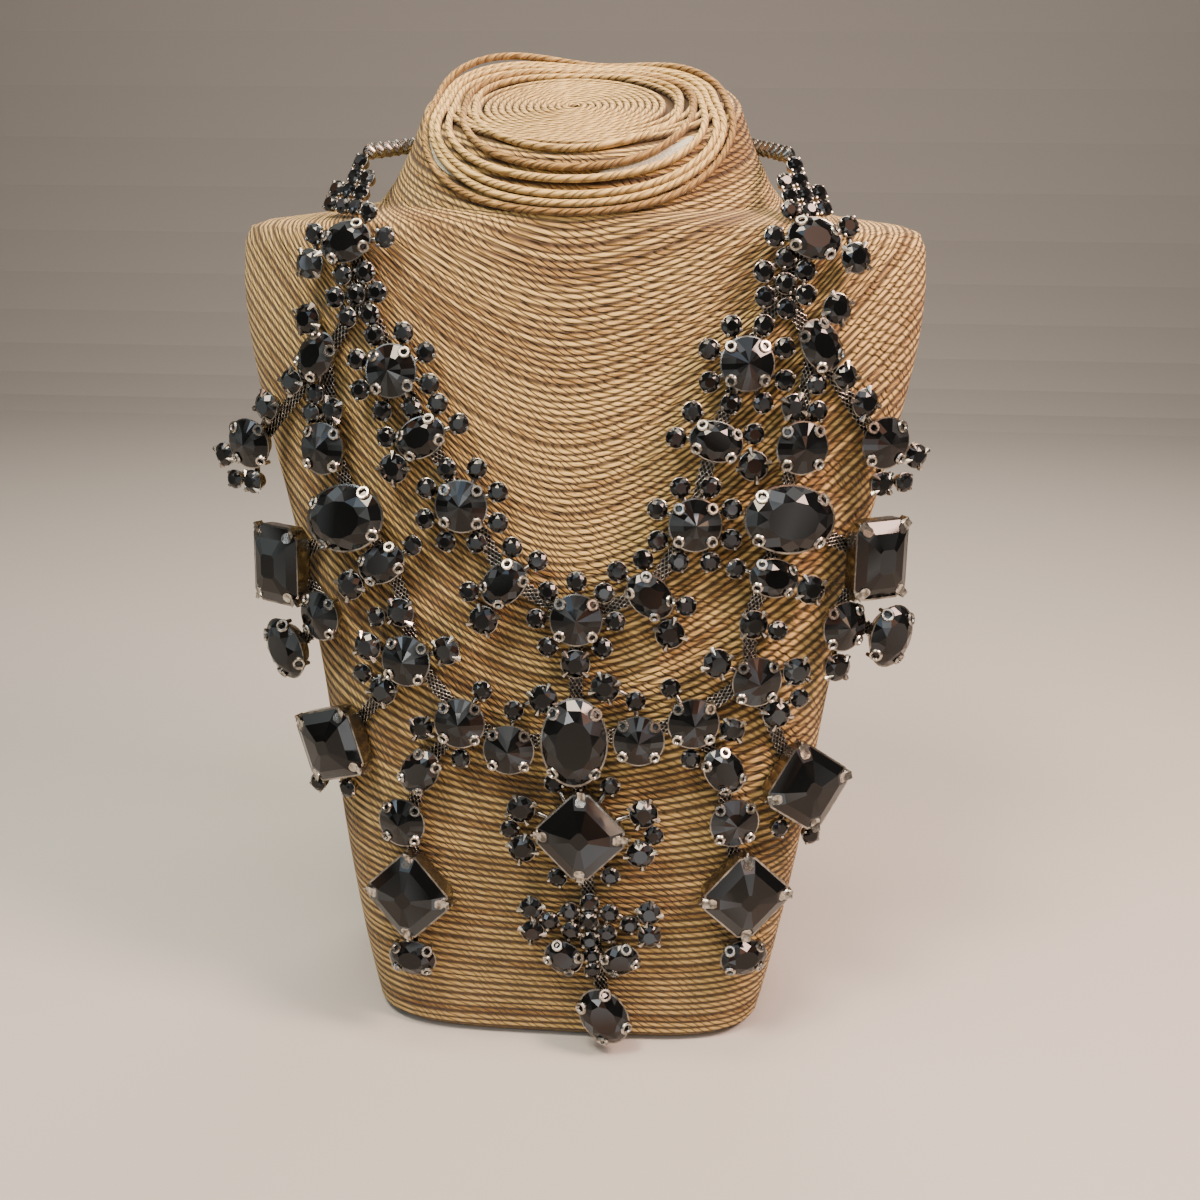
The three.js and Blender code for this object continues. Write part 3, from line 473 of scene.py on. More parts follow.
def piece_from(bm, name, materials):
    """A finished piece at the origin from a mesh in the making."""
    mesh = bpy.data.meshes.new(name)
    bm.to_mesh(mesh)
    bm.free()
    for material in materials:
        mesh.materials.append(material)
    piece = bpy.data.objects.new(name, mesh)
    bpy.context.collection.objects.link(piece)
    return piece


wound_twine = piece_from(wrap_bm, "wound_twine", [jute])
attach(wound_twine, "root")
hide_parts("neck_bust")


# The twine on the neck's top. The last length is coiled in a flat spiral, and the turns round it are left
# loose: they hang over the front of the neck on the bare foam, and the outermost springs clear at the back.
TWINE_RADIUS = 1.05 * MM
TUBE_SIDES = 8
COIL_TURNS = 12
COIL_STEPS = 60
COIL_REACH = 0.61  # share of the neck's top that the tight coil fills
COIL_MIDDLE = Vector((-0.05, -0.17))  # the coil's middle, as shares of the top's half width and half depth
LOOPS = [  # reach at four sides, past 1 down the neck, and the lift in mm at the back's corners
    dict(front=1.04, left=0.73, right=0.69, back=0.55, spring_left=0.6, spring_right=0.2),
    dict(front=1.25, left=0.79, right=0.755, back=0.605, spring_left=1.2, spring_right=0.7),
    dict(front=1.45, left=0.85, right=0.82, back=0.66, spring_left=1.4, spring_right=0.4),
    dict(front=1.69, left=0.9, right=0.87, back=0.705, spring_left=2.2, spring_right=1.2),
    dict(front=1.82, left=0.945, right=0.925, back=0.76, spring_left=2.8, spring_right=0.9, part=-0.015),
    dict(front=1.97, left=0.99, right=0.985, back=0.81, spring_left=5.2, spring_right=2.4, part=0.05),
]
LOOP_STEPS = 120
SPRING_LEFT = (140, 60)  # where the loops spring clear: middle angle and half length in degrees
SPRING_RIGHT = (38, 45)
COIL_START = 0.03
COIL_SUNK = 0.9  # share of the twine's radius at which the coil's middle lies over the top
LOOP_SLIP = (0.004, 0.012)  # how far a loop wanders from its round, as reach
LOOP_SETTLED = 10  # times that a loop is smoothed over its neighbouring points
LOOP_REST = (0.5, 0.25)  # millimetres that a loop lies above the top, and above the neck's face
NECK_FALL = 1.05  # share of the neck's rise that one reach past the rim goes down
UNDER_TURNS = 4  # turns that go on from the tight coil to the rim, under the loose ones
UNDER_REACH = 0.96
RIM_SHARE = 0.1  # reach that the neck's rounded rim takes up
FOAM_SLITS = [  # middle angle and half length in degrees, reach there and its change over the half length
    dict(angle=221, half=15, reach=1.37, change=0.15),
    dict(angle=299, half=20, reach=1.2, change=-0.15),
]
SLIT_HALF = 0.075  # half the width of a patch, as reach
SLIT_STEPS = 24
SLIT_ROWS = 8
SLIT_LIFTS = (0.25, -0.6)  # millimetres of a patch's outer and inner face over the neck
FOAM_CELL = 0.556 * MM  # coarser than the real foam's, so that they show


def on_neck(reach, angle, lift):
    """A place over the neck's flat top, which leans to the front, or past reach 1 over the neck's face."""
    above = Vector((0, -math.sin(NECK_TILT), math.cos(NECK_TILT)))
    if reach <= 1:
        centre = Vector((0, NECK_MIDDLE, SHOULDER_HEIGHT + NECK_RISE))
        return centre.lerp(neck_point(1, angle), reach) + above * lift
    past = reach - 1
    flat_rise, edge_rise = NECK_SECTIONS[-1]["rise"], NECK_SECTIONS[-2]["rise"]
    if past < RIM_SHARE:
        rise = flat_rise + (edge_rise - flat_rise) * past / RIM_SHARE
    else:
        rise = edge_rise - (past - RIM_SHARE) * NECK_FALL
    on = neck_point(rise, angle)
    out = Vector((on.x / NECK_WIDTH, (on.y - NECK_MIDDLE) / NECK_DEPTH, 0)).normalized()
    turned = min(1.0, past / (2 * RIM_SHARE))
    return on + (above * (1 - turned) + out * turned).normalized() * lift


def near_angle(angle, middle, width):
    """1 at the middle angle, falling smoothly to 0 at the width from it, all in degrees."""
    away = abs((math.degrees(angle) - middle + 180) % 360 - 180) / width
    return math.cos(away * math.pi / 2) ** 2 if away < 1 else 0.0


def loop_reach(loop, angle):
    """How far out a loose loop lies in a direction."""
    front, back = max(0.0, -math.sin(angle)) ** 2, max(0.0, math.sin(angle)) ** 2
    side = loop["right"] if math.cos(angle) > 0 else loop["left"]
    parted = loop.get("part", 0) * near_angle(angle, FOAM_SLITS[0]["angle"], 30)
    return loop["front"] * front + loop["back"] * back + side * math.cos(angle) ** 2 + parted


def twine_tube(bm, points, closed, radius, groove_shade):
    """A round length of twine through points, with its twist and its own row in the uv map, whose sides
    reach into the painted groove shade.
    """
    layer = bm.loops.layers.uv.verify()
    count = len(points)
    rings, along = [], [0.0]
    side = Vector((0, 0, 1))
    for i, point in enumerate(points):
        before = points[i - 1] if closed or i > 0 else point
        after = points[(i + 1) % count] if closed or i < count - 1 else point
        tangent = (after - before).normalized()
        side = (side - tangent * side.dot(tangent)).normalized()
        other = tangent.cross(side)
        rings.append(
            [
                bm.verts.new(point + (side * math.cos(a) + other * math.sin(a)) * radius)
                for a in (2 * math.pi * k / TUBE_SIDES for k in range(TUBE_SIDES))
            ]
        )
        if i:
            along.append(along[-1] + (point - points[i - 1]).length)
    along.append(along[-1] + (points[0] - points[-1]).length)
    twists = round(along[-1] / TWIST_PITCH) / along[-1] if closed else 1 / TWIST_PITCH
    row = len(bm.faces) + 0.5
    for i in range(count if closed else count - 1):
        for k in range(TUBE_SIDES):
            j, m = (i + 1) % count, (k + 1) % TUBE_SIDES
            face = bm.faces.new((rings[i][k], rings[i][m], rings[j][m], rings[j][k]))
            face.smooth = True
            for loop, (di, dk) in zip(face.loops, ((0, 0), (0, 1), (1, 1), (1, 0))):
                turn = (k + dk) / TUBE_SIDES
                # The tube's sides go towards the row's edges, where the dark groove colour paints shade.
                across = row + groove_shade * math.sin(2 * math.pi * turn)
                loop[layer].uv = (along[i + di] * twists + turn, across)
    if not closed:
        bm.faces.new(rings[0][::-1])
        bm.faces.new(rings[-1])


coil_bm = bmesh.new()
coil_bm.loops.layers.uv.new("twine_run")
coil_line = []
for i in range((COIL_TURNS + UNDER_TURNS) * COIL_STEPS):
    angle = 2 * math.pi * i / COIL_STEPS
    turns = i / COIL_STEPS
    size = COIL_START + (COIL_REACH - COIL_START) * min(turns / COIL_TURNS, 1)
    size += (UNDER_REACH - COIL_REACH) * max(turns - COIL_TURNS, 0) / UNDER_TURNS
    beyond = max(0.0, (size - COIL_REACH) / (UNDER_REACH - COIL_REACH))
    spot = COIL_MIDDLE * (1 - beyond) + Vector((math.cos(angle), math.sin(angle))) * size
    coil_line.append(on_neck(spot.length, math.atan2(spot.y, spot.x), TWINE_RADIUS * COIL_SUNK))
# 0.4: how far the coil's sides reach into the painted groove shade.
twine_tube(coil_bm, coil_line, False, TWINE_RADIUS, 0.4)
neck_coil = piece_from(coil_bm, "neck_coil", [jute])

random.seed(23)
loops_bm = bmesh.new()
loops_bm.loops.layers.uv.new("twine_run")
for loop in LOOPS:
    slips = [(random.uniform(0, 2 * math.pi), random.uniform(*LOOP_SLIP)) for _ in range(3)]
    ring = []
    for i in range(LOOP_STEPS):
        angle = 2 * math.pi * i / LOOP_STEPS
        reach = loop_reach(loop, angle)
        reach += sum(size * math.sin((n + 2) * angle + phase) for n, (phase, size) in enumerate(slips))
        spring = loop["spring_left"] * near_angle(angle, *SPRING_LEFT)
        spring += loop["spring_right"] * near_angle(angle, *SPRING_RIGHT)
        rest = LOOP_REST[0] if reach < 1 else LOOP_REST[1]
        ring.append(on_neck(reach, angle, TWINE_RADIUS + (rest + spring) * MM))
    for _ in range(LOOP_SETTLED):
        ring = [(ring[i - 1] + ring[i] * 2 + ring[(i + 1) % LOOP_STEPS]) / 4 for i in range(LOOP_STEPS)]
    # 0.28: how far the loops' sides reach into the painted groove shade.
    twine_tube(loops_bm, ring, True, TWINE_RADIUS, 0.28)
loose_loops = piece_from(loops_bm, "loose_loops", [jute])
for piece in (neck_coil, loose_loops):
    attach(piece, "root")


def bare_foam():
    """Pale rigid foam with a fine open grain, which only shows in the slits between the loose turns."""
    material, tree = new_material("rigid_foam")
    place = add_node(tree, "ShaderNodeTexCoord").outputs["Object"]
    cells = add_node(tree, "ShaderNodeTexVoronoi", {0: place, "Scale": 1 / FOAM_CELL})
    shade = add_node(tree, "ShaderNodeValToRGB", {0: cells.outputs["Distance"]})
    set_ramp(shade, [(0, "#9a9a88"), (1, "#c4c4b2")])
    grain = add_node(tree, "ShaderNodeBump", {"Height": cells.outputs["Distance"], "Distance": 0.2 * MM})
    shader = add_node(
        tree, "ShaderNodeBsdfPrincipled", {"Base Color": shade, "Roughness": 0.9, "Normal": grain}
    )
    add_node(tree, "ShaderNodeOutputMaterial", {"Surface": shader})
    return material


def rim_of(grid):
    """The points round the edge of a grid of points, in order."""
    return grid[0][:-1] + [row[-1] for row in grid[:-1]] + grid[-1][:0:-1] + [row[0] for row in grid[:0:-1]]


foam_bm = bmesh.new()
for slit in FOAM_SLITS:
    shells = []
    for lift in SLIT_LIFTS:
        shells.append([])
        for j in range(SLIT_ROWS + 1):
            across = 2 * j / SLIT_ROWS - 1
            row = []
            for i in range(SLIT_STEPS + 1):
                away = 2 * i / SLIT_STEPS - 1
                taper = math.sqrt(max(0.0, 1 - away**2 * 0.98))
                reach = slit["reach"] + slit["change"] * away + across * SLIT_HALF * taper
                angle = math.radians(slit["angle"] + slit["half"] * away)
                row.append(foam_bm.verts.new(on_neck(reach, angle, lift * MM)))
            shells[-1].append(row)
    outer, inner = shells
    for j in range(SLIT_ROWS):
        for i in range(SLIT_STEPS):
            foam_bm.faces.new((outer[j][i], outer[j][i + 1], outer[j + 1][i + 1], outer[j + 1][i]))
            foam_bm.faces.new((inner[j][i], inner[j + 1][i], inner[j + 1][i + 1], inner[j][i + 1]))
    edge_out, edge_in = rim_of(outer), rim_of(inner)
    for k in range(len(edge_out)):
        foam_bm.faces.new((edge_out[k], edge_in[k], edge_in[k - 1], edge_out[k - 1]))
for face in foam_bm.faces:
    face.smooth = True
bmesh.ops.recalc_face_normals(foam_bm, faces=foam_bm.faces)
bare_patches = piece_from(foam_bm, "bare_foam_patches", [bare_foam()])
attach(bare_patches, "root")


# The places of the settings. The bib lies on the chest, so each group stands on the line of sight on
# which the photograph shows it, its back at the mesh ribbon, and leans with the chest there.
RIBBON_GAP = 0.8 * MM
RIBBON_THICK = 1 * MM
RIBBON_WIDTH = 4.6 * MM
SETTING_GAP = 0.4 * MM
NECKLACE_TURN = 0.76  # share of the bust's half width past which the bib no longer bends round it
VIEW_DISTANCE = 367 * MM
RIM_GAP = 0.7  # millimetres between the rims of two settings


def chest_depth(x, z):
    """How far back the bust's front lies, which goes straight on outwards past NECKLACE_TURN."""
    half, middle, front, _, square = body_section(z)
    share = abs(x) / half
    held = min(share, NECKLACE_TURN)
    rest = 1 - held**square
    slope = held ** (square - 1) * rest ** (1 / square - 1)
    return middle - front * (rest ** (1 / square) - slope * (share - held))


def chest_normal(x, z):
    """Which way the chest faces at a place."""
    step = 0.5 * MM
    across = (chest_depth(x + step, z) - chest_depth(x - step, z)) / (2 * step)
    up = (chest_depth(x, z + step) - chest_depth(x, z - step)) / (2 * step)
    return Vector((across, -1, up)).normalized()


def above_chest(x, z, lift):
    """The place at a lift above the chest that has this x and z, with its foot and normal on the chest."""
    foot_x, foot_z = x, z
    normal = chest_normal(x, z)
    for _ in range(8):
        foot_x, foot_z = x - normal.x * lift, z - normal.z * lift
        normal = chest_normal(foot_x, foot_z)
    foot = Vector((foot_x, chest_depth(foot_x, foot_z), foot_z))
    return foot, normal, foot + normal * lift


def seen(across, up, lift):
    """Where the line of sight through a place in the view meets the level lift above the chest."""
    sight = ahead * VIEW_DISTANCE + view_right * across + view_up * up
    near, far = 0.7, 1.4
    for _ in range(40):
        share = (near + far) / 2
        at = EYE + sight * share
        foot, normal, point = above_chest(at.x, at.z, lift)
        if at.y < point.y:
            near = share
        else:
            far = share
    return foot, normal


STONES = {  # millimetres; girdle is the height of the setting's rim, table the flat's share of the size
    "seed": dict(wide=5, high=5, sides=8, girdle=2.2, top=3.3, table=0.5, claw="bead"),
    "chaton": dict(wide=5.8, high=5.8, sides=8, girdle=3, top=4.3, table=0.5, claw="bead"),
    "middle": dict(wide=7.1, high=7.1, sides=8, girdle=3.3, top=4.8, table=0.5, claw="point"),
    "round": dict(wide=8.4, high=8.4, sides=8, girdle=3.6, top=5.4, table=0.5, claw="point"),
    "rivoli": dict(wide=14.8, high=14.8, sides=14, girdle=4.4, top=7.2, table=0, claw="ring"),
    "oval": dict(wide=15, high=11, sides=10, girdle=4.2, top=6.5, table=0.5, claw="ring"),
    "smallOval": dict(wide=12, high=9.8, sides=10, girdle=3.8, top=5.8, table=0.5, claw="ring"),
    "longOval": dict(wide=19, high=14, sides=10, girdle=5, top=7.8, table=0.52, claw="ring"),
    "largeOval": dict(wide=26.4, high=19.2, sides=12, girdle=5.6, top=9, table=0.55, claw="ring"),
    "square": dict(wide=21.4, high=21.4, corner=3.4, girdle=6, top=9.6, table=0.2, claw="tab"),
    "rectangle": dict(wide=17.4, high=23.4, corner=3, girdle=6, top=9.4, table=0.3, claw="tab"),
}


def around(stone, angles, gap=RIM_GAP):
    """Small stones that stand round a main stone, at angles in degrees and gaps in millimetres."""
    return [dict(stone=stone, angle=angle, gap=gap) for angle in angles]


def ring_of(count, start, stone):
    return around(stone, [start + 360 / count * i for i in range(count)])


ROUND_OVAL = around("chaton", [36, -8, 152]) + around("round", [197])
HALO = ring_of(8, 22, "chaton")
ROSETTE = ring_of(6, 8, "chaton")
CENTRE_HALO = around("chaton", [0, 45, 90, 135, 180, 225, 315]) + around("round", [270])
ROUND_COLLAR_OVAL = (
    around("chaton", [-12]) + around("seed", [36]) + around("chaton", [148]) + around("round", [189])
)
ROUND_SHOULDER_OVAL = around("round", [58], 0.4) + around("middle", [170], 0.4) + around("chaton", [214])
ROUND_ARM = around("round", [58], 1.4) + around("middle", [203, 270]) + around("chaton", [238], 3.7)
ROUND_SIDE_STONE = around("middle", [77], 0.5) + around("chaton", [116], 0.4)
ENDS_OF_SMALL_OVAL = around("chaton", [5]) + around("round", [187])
UNDER_SIDE_RIVOLI = [dict(stone="round", angle=275, gap=0.8, only=1)]
ROUND_OUTER_RIVOLI = around("round", [24], 1.2) + around("round", [170, 236]) + around("chaton", [204], 4.6)
UNDER_SQUARE = around("chaton", [224, 266], 1)
ROUND_LOWER_RIVOLI = around("chaton", [57], 1.6) + around("middle", [192]) + around("chaton", [272])
ROUND_INNER_RIVOLI = around("chaton", [84], 1.2) + around("round", [58], 6.4)
ROUND_CENTRE_SQUARE = [
    dict(small, angle=small["angle"] - 45)
    for small in (
        around("chaton", [118, 62], 3.2)
        + around("chaton", [244, 304], 1.4)
        + around("round", [158, 22], 3.2)
        + around("chaton", [178, 1], 5.2)
        + around("round", [197, 343], 1.4)
    )
]
UNDER_DROP_SQUARE = [dict(stone="oval", angle=225, gap=0.4, turn=-45)]
CLUSTER_PITCH = 6
CLUSTER = [  # stone, across and up in pitches, turn
    ("chaton", 0, 1, None),
    ("chaton", -1, 0.5, None),
    ("chaton", 1, 0.5, None),
    ("chaton", -0.9, -0.55, None),
    ("chaton", 0.9, -0.55, None),
    ("chaton", 0, -1, None),
    ("chaton", -1.95, -0.05, None),
    ("chaton", 1.95, -0.05, None),
    ("middle", -2.85, 0.6, None),
    ("middle", -2.8, -0.62, None),
    ("middle", 2.9, 0.6, None),
    ("middle", 2.95, -0.62, None),
    ("smallOval", -1.25, -1.95, -30),
    ("smallOval", 1.55, -1.9, 30),
    ("seed", 0.15, -1.9, None),
    ("seed", 0.15, -2.7, None),
]
ROUND_CLUSTER = [
    dict(stone=stone, across=across, up=up, turn=turn) for stone, across, up, turn in CLUSTER
]

GROUPS = [  # name, main stone, what is round it, then (across, up, turn) left and right or in the middle
    ("collar_oval", "oval", ROUND_COLLAR_OVAL, (-72, 101.4, 20), (61, 102.5, 15)),
    ("collar_flower", "chaton", ROSETTE, (-69, 86.4, 0), (52.5, 89.5, 20)),
    ("neckline_halo_upper", "rivoli", HALO, (-59.2, 64.5, 8), (42, 66.5, 0)),
    ("neckline_oval_upper", "oval", ROUND_OVAL, (-50.6, 45.8, 30), (33, 44.5, 15)),
    ("neckline_halo_lower", "rivoli", HALO, (-39.5, 26.5, 0), (27, 21, 0)),
    ("neckline_oval_lower", "oval", ROUND_OVAL, (-27, 4.5, 44), (14, 1, 44)),
    ("shoulder_oval", "oval", ROUND_SHOULDER_OVAL, (-80.4, 68.8, 50), (62.5, 72, 58)),
    ("shoulder_arm", "rivoli", ROUND_ARM, (-99.5, 44.5, 0), (81, 44.5, 0)),
    ("side_stone", "rivoli", ROUND_SIDE_STONE, (-78.5, 42.5, 0), (57.5, 43, 0)),
    ("side_large_oval", "largeOval", [], (-72, 23, 15), (54, 22.5, 5)),
    ("side_rectangle", "rectangle", [], (-91.6, 10, 0), (79.5, 11.5, 0)),
    ("side_small_oval", "oval", ENDS_OF_SMALL_OVAL, (-62, 10, 28), (49, 6, 12)),
    ("side_rivoli", "rivoli", UNDER_SIDE_RIVOLI, (-79.3, -4.5, 0), (69, -7.5, 0)),
    ("side_slant_oval", "longOval", [], (-89, -13.5, -60), (82.5, -10, -75)),
    ("outer_round", "round", around("chaton", [197]), (-56.5, -3.5, 0), (43.5, -7, 0)),
    ("outer_rivoli", "rivoli", ROUND_OUTER_RIVOLI, (-55, -17.5, -4), (44.5, -23, 2)),
    ("outer_square", "square", UNDER_SQUARE, (-76.5, -40.5, 20), (59, -53, 36)),
    ("lower_rivoli", "rivoli", ROUND_LOWER_RIVOLI, (-40, -35, 0), (26.5, -35, 0)),
    ("lower_oval", "oval", [], (-51, -48.5, 55), (35, -48.5, 55)),
    ("drop_rivoli", "rivoli", [], (-56, -63, 0), (38, -63, 0)),
    ("drop_square", "square", UNDER_DROP_SQUARE, (-54, -84, 45), (41.5, -84, 45)),
    ("inner_rivoli", "rivoli", ROUND_INNER_RIVOLI, (-25.9, -42.5, 0), (11, -40, 0)),
    ("centre_halo", "rivoli", CENTRE_HALO, (-7, -6, 0), None),
    ("centre_oval", "largeOval", [], (-7.5, -40.5, 90), None),
    ("centre_square", "square", ROUND_CENTRE_SQUARE, (-5.5, -67.5, 45), None),
    ("centre_cluster", "chaton", ROUND_CLUSTER, (-3, -91, 0), None),
    ("bottom_oval", "longOval", [], (1, -118, -58), None),
]

back_lift = RIBBON_GAP + RIBBON_THICK + SETTING_GAP
places = {}
for name, stone, small_ones, left, right in GROUPS:
    for side, spot in ((-1, left), (1, right)):
        if spot is None:
            continue
        foot, normal = seen(spot[0] * MM, spot[1] * MM, back_lift + STONES[stone]["girdle"] * MM)
        node = name if right is None else name + ("_left" if side < 0 else "_right")
        places[node] = dict(
            stone=stone, small_ones=small_ones, side=side, foot=foot, normal=normal,
            at=foot + normal * back_lift, turn=-side * math.radians(spot[2]),
        )


# The stones and their settings. Opaque jet-black pressed glass, cut and fire-polished, each in a stamped
# brass cup plated gunmetal, whose claws are bent over the girdle. One of each kind is modelled and copied.
GLASS_BLACK = "#08090a"
FACET_REFLECTIONS = [  # share of the draw and the painted reflection that a facet shows there
    (0.28, "#30363a"), (0.38, "#0c0e0f"), (0.46, GLASS_BLACK), (0.53, "#070808"), (0.58, "#2b2f32"),
    (0.63, "#0c0b0a"), (0.69, "#231a16"), (0.76, "#39424a"),
]
SMEAR_SIZE = 6.25 * MM  # where handling has left the glass a little less glossy
GUNMETAL_LIGHT = "#a8a49c"
GUNMETAL_DARK = "#4c4a47"
STAIN_SIZE = 3.33 * MM
# The claws and wires get a brighter copy of the plating, which paints their highlights.
HIGHLIGHT_PLATE_LIGHT = "#c4c0b7"
HIGHLIGHT_PLATE_DARK = "#68655f"
HIGHLIGHT_MOTTLE_SIZE = 1.43 * MM


def jet_glass():
    """Pressed black glass with a hard gloss; each facet's colour is a painted reflection drawn from black,
    smoke grey, blue-grey and brown.
    """
    material, tree = new_material("jet_black_glass")
    place = add_node(tree, "ShaderNodeTexCoord").outputs["Object"]
    smears = add_node(tree, "ShaderNodeTexNoise", {0: place, "Scale": 1 / SMEAR_SIZE, "Detail": 3.0})
    gloss = add_node(tree, "ShaderNodeMapRange", {0: smears, 1: 0.35, 2: 0.75, 3: 0.015, 4: 0.1})
    facing_way = add_node(tree, "ShaderNodeTexCoord").outputs["Normal"]
    facet = add_node(
        tree, "ShaderNodeVectorMath", {0: place, 1: (5.0, 5.0, 5.0), 2: facing_way}, operation="MULTIPLY_ADD"
    )
    facet_draw = add_node(tree, "ShaderNodeTexNoise", {0: facet, "Scale": 2.3, "Detail": 0.0})
    # Painted reflection: each facet draws its own tone of black, grey, blue-grey and brown.
    depth = add_node(tree, "ShaderNodeValToRGB", {0: facet_draw})
    set_ramp(depth, FACET_REFLECTIONS)
    shader = add_node(
        tree, "ShaderNodeBsdfPrincipled",
        {"Base Color": depth, "Roughness": gloss, "IOR": 1.5, "Specular IOR Level": 0.32},
    )
    add_node(tree, "ShaderNodeOutputMaterial", {"Surface": shader})
    return material


def gunmetal_plate():
    """Gunmetal plating on stamped brass: dark warm grey, with a brighter copy on the claws and wires as
    painted highlight.
    """
    material, tree = new_material("gunmetal_plate")
    place = add_node(tree, "ShaderNodeTexCoord").outputs["Object"]
    stains = add_node(tree, "ShaderNodeTexNoise", {0: place, "Scale": 1 / STAIN_SIZE, "Detail": 2.0})
    colour = add_node(tree, "ShaderNodeValToRGB", {0: stains})
    set_ramp(colour, [(0.25, GUNMETAL_DARK), (0.75, GUNMETAL_LIGHT)])
    rough = add_node(tree, "ShaderNodeMapRange", {0: stains, 1: 0.3, 2: 0.7, 3: 0.38, 4: 0.18})
    grain = add_node(tree, "ShaderNodeBump", {"Height": stains, "Distance": 0.03 * MM})
    shader = add_node(
        tree, "ShaderNodeBsdfPrincipled",
        {"Base Color": colour, "Metallic": 1.0, "Roughness": rough, "Normal": grain},
    )
    add_node(tree, "ShaderNodeOutputMaterial", {"Surface": shader})
    return material


def painted_highlight_plate():
    """The same plating on the claws and fine wires as a pale warm silver: a brighter copy that paints their
    highlights.
    """
    material, tree = new_material("gunmetal_with_painted_highlight")
    place = add_node(tree, "ShaderNodeTexCoord").outputs["Object"]
    highlight_mottle = add_node(tree, "ShaderNodeTexNoise", {0: place, "Scale": 1 / HIGHLIGHT_MOTTLE_SIZE, "Detail": 3.0})
    colour = add_node(tree, "ShaderNodeValToRGB", {0: highlight_mottle})
    set_ramp(colour, [(0.36, HIGHLIGHT_PLATE_DARK), (0.6, HIGHLIGHT_PLATE_LIGHT)])
    rough = add_node(tree, "ShaderNodeMapRange", {0: highlight_mottle, 1: 0.3, 2: 0.7, 3: 0.36, 4: 0.2})
    shader = add_node(
        tree, "ShaderNodeBsdfPrincipled", {"Base Color": colour, "Metallic": 1.0, "Roughness": rough}
    )
    add_node(tree, "ShaderNodeOutputMaterial", {"Surface": shader})
    return material


glass = jet_glass()
gunmetal = gunmetal_plate()
highlight_plate = painted_highlight_plate()
SETTING_MATERIALS = [glass, gunmetal, highlight_plate]


def start_piece(name):
    """An empty mesh object in edit mode, ready for primitives."""
    bpy.ops.object.select_all(action="DESELECT")
    made = bpy.data.objects.new(name, bpy.data.meshes.new(name))
    bpy.context.collection.objects.link(made)
    bpy.context.view_layer.objects.active = made
    made.select_set(True)
    bpy.ops.object.mode_set(mode="EDIT")
    return made


def add_outline(stone, share, z, sides, fill="NOTHING", turn=0.0):
    """Adds a level outline of the stone at a share of its size, and leaves it selected."""
    bpy.ops.mesh.select_all(action="DESELECT")
    wide, high = stone["wide"] * share * MM, stone["high"] * share * MM
    if "corner" in stone:
        bpy.ops.mesh.primitive_plane_add(size=1, location=(0, 0, z * MM))
        bpy.ops.transform.resize(value=(wide, high, 1))
        bpy.ops.mesh.bevel(offset=stone["corner"] * share * MM * 0.98, affect="VERTICES")
    else:
        bpy.ops.mesh.primitive_circle_add(
            vertices=sides, radius=0.5, fill_type=fill, location=(0, 0, z * MM), rotation=(0, 0, turn)
        )
        bpy.ops.transform.resize(value=(wide, high, 1))


def end_piece(made, smooth):
    """Leaves edit mode with all faces outwards, shaded smooth or flat."""
    bpy.ops.mesh.select_all(action="SELECT")
    bpy.ops.mesh.normals_make_consistent(inside=False)
    bpy.ops.object.mode_set(mode="OBJECT")
    if smooth:
        bpy.ops.object.shade_smooth_by_angle(angle=math.radians(35))
    else:
        bpy.ops.object.shade_flat()
    return made


def cut_stone(name, stone):
    """The glass above the rim: a girdle, one or two rows of crown facets and a table or a point."""
    made = start_piece(name + "_glass")
    sides = stone["sides"] if "sides" in stone else 8
    low, high = stone["girdle"] - 0.5, stone["top"]
    rise = high - stone["girdle"]
    inner = 0.95
    half_step = math.pi / sides
    if stone["table"] == 0:
        rings = [(inner, low, sides * 2, 0), (inner, low + 0.6, sides * 2, 0)]
        rings += [(inner * 0.5, stone["girdle"] + rise * 0.58, sides, half_step), (0.015, high, 4, 0)]
    elif "corner" in stone:
        rings = [(inner, low, 0, 0), (inner, low + 0.7, 0, 0)]
        rings += [(inner * 0.72, stone["girdle"] + rise * 0.62, 0, 0), (stone["table"], high, 0, 0)]
    else:
        rings = [(inner, low, sides * 2, 0), (inner, low + 0.6, sides * 2, 0)]
        middle_share = (inner + stone["table"]) / 2 + 0.03
        rings += [(middle_share, stone["girdle"] + rise * 0.62, sides, half_step)]
        rings += [(stone["table"], high, sides, 0)]
    for share, z, count, turn in rings:
        add_outline(stone, share, z, count, turn=turn)
    bpy.ops.mesh.select_all(action="SELECT")
    bpy.ops.mesh.convex_hull()
    return end_piece(made, False)


def cup(name, stone):
    """The stamped cup: it widens from the back to a thin rim that stands just proud of the girdle."""
    made = start_piece(name + "_cup")
    rim = stone["girdle"]
    if "corner" in stone:
        rings = [(0.9, 0), (0.94, 0.4), (0.965, 1.6), (0.985, rim - 0.8), (1.0, rim), (0.95, rim + 0.1)]
    else:
        rings = [(0.62, 0), (0.68, 0.35), (0.84, rim * 0.55), (0.95, rim * 0.8), (1.0, rim)]
        rings.append((0.94, rim + 0.1))
    rings.append((rings[-1][0] - 0.03, rim - 0.7))
    count = 16 if stone["wide"] < 9 else 28
    add_outline(stone, rings[0][0], 0, count, fill="NGON")
    for (share, z), (next_share, next_z) in zip(rings, rings[1:]):
        bpy.ops.mesh.extrude_region_move(TRANSFORM_OT_translate={"value": (0, 0, (next_z - z) * MM)})
        grow = next_share / share
        bpy.ops.transform.resize(value=(grow, grow, 1))
    return end_piece(made, True)


def crown_slope(stone, angle):
    """How steeply the crown falls from the table to the rim, in a direction."""
    reach = edge_reach(stone, angle) * (1 - max(stone["table"], 0.05))
    return math.atan2(stone["top"] - stone["girdle"], reach)


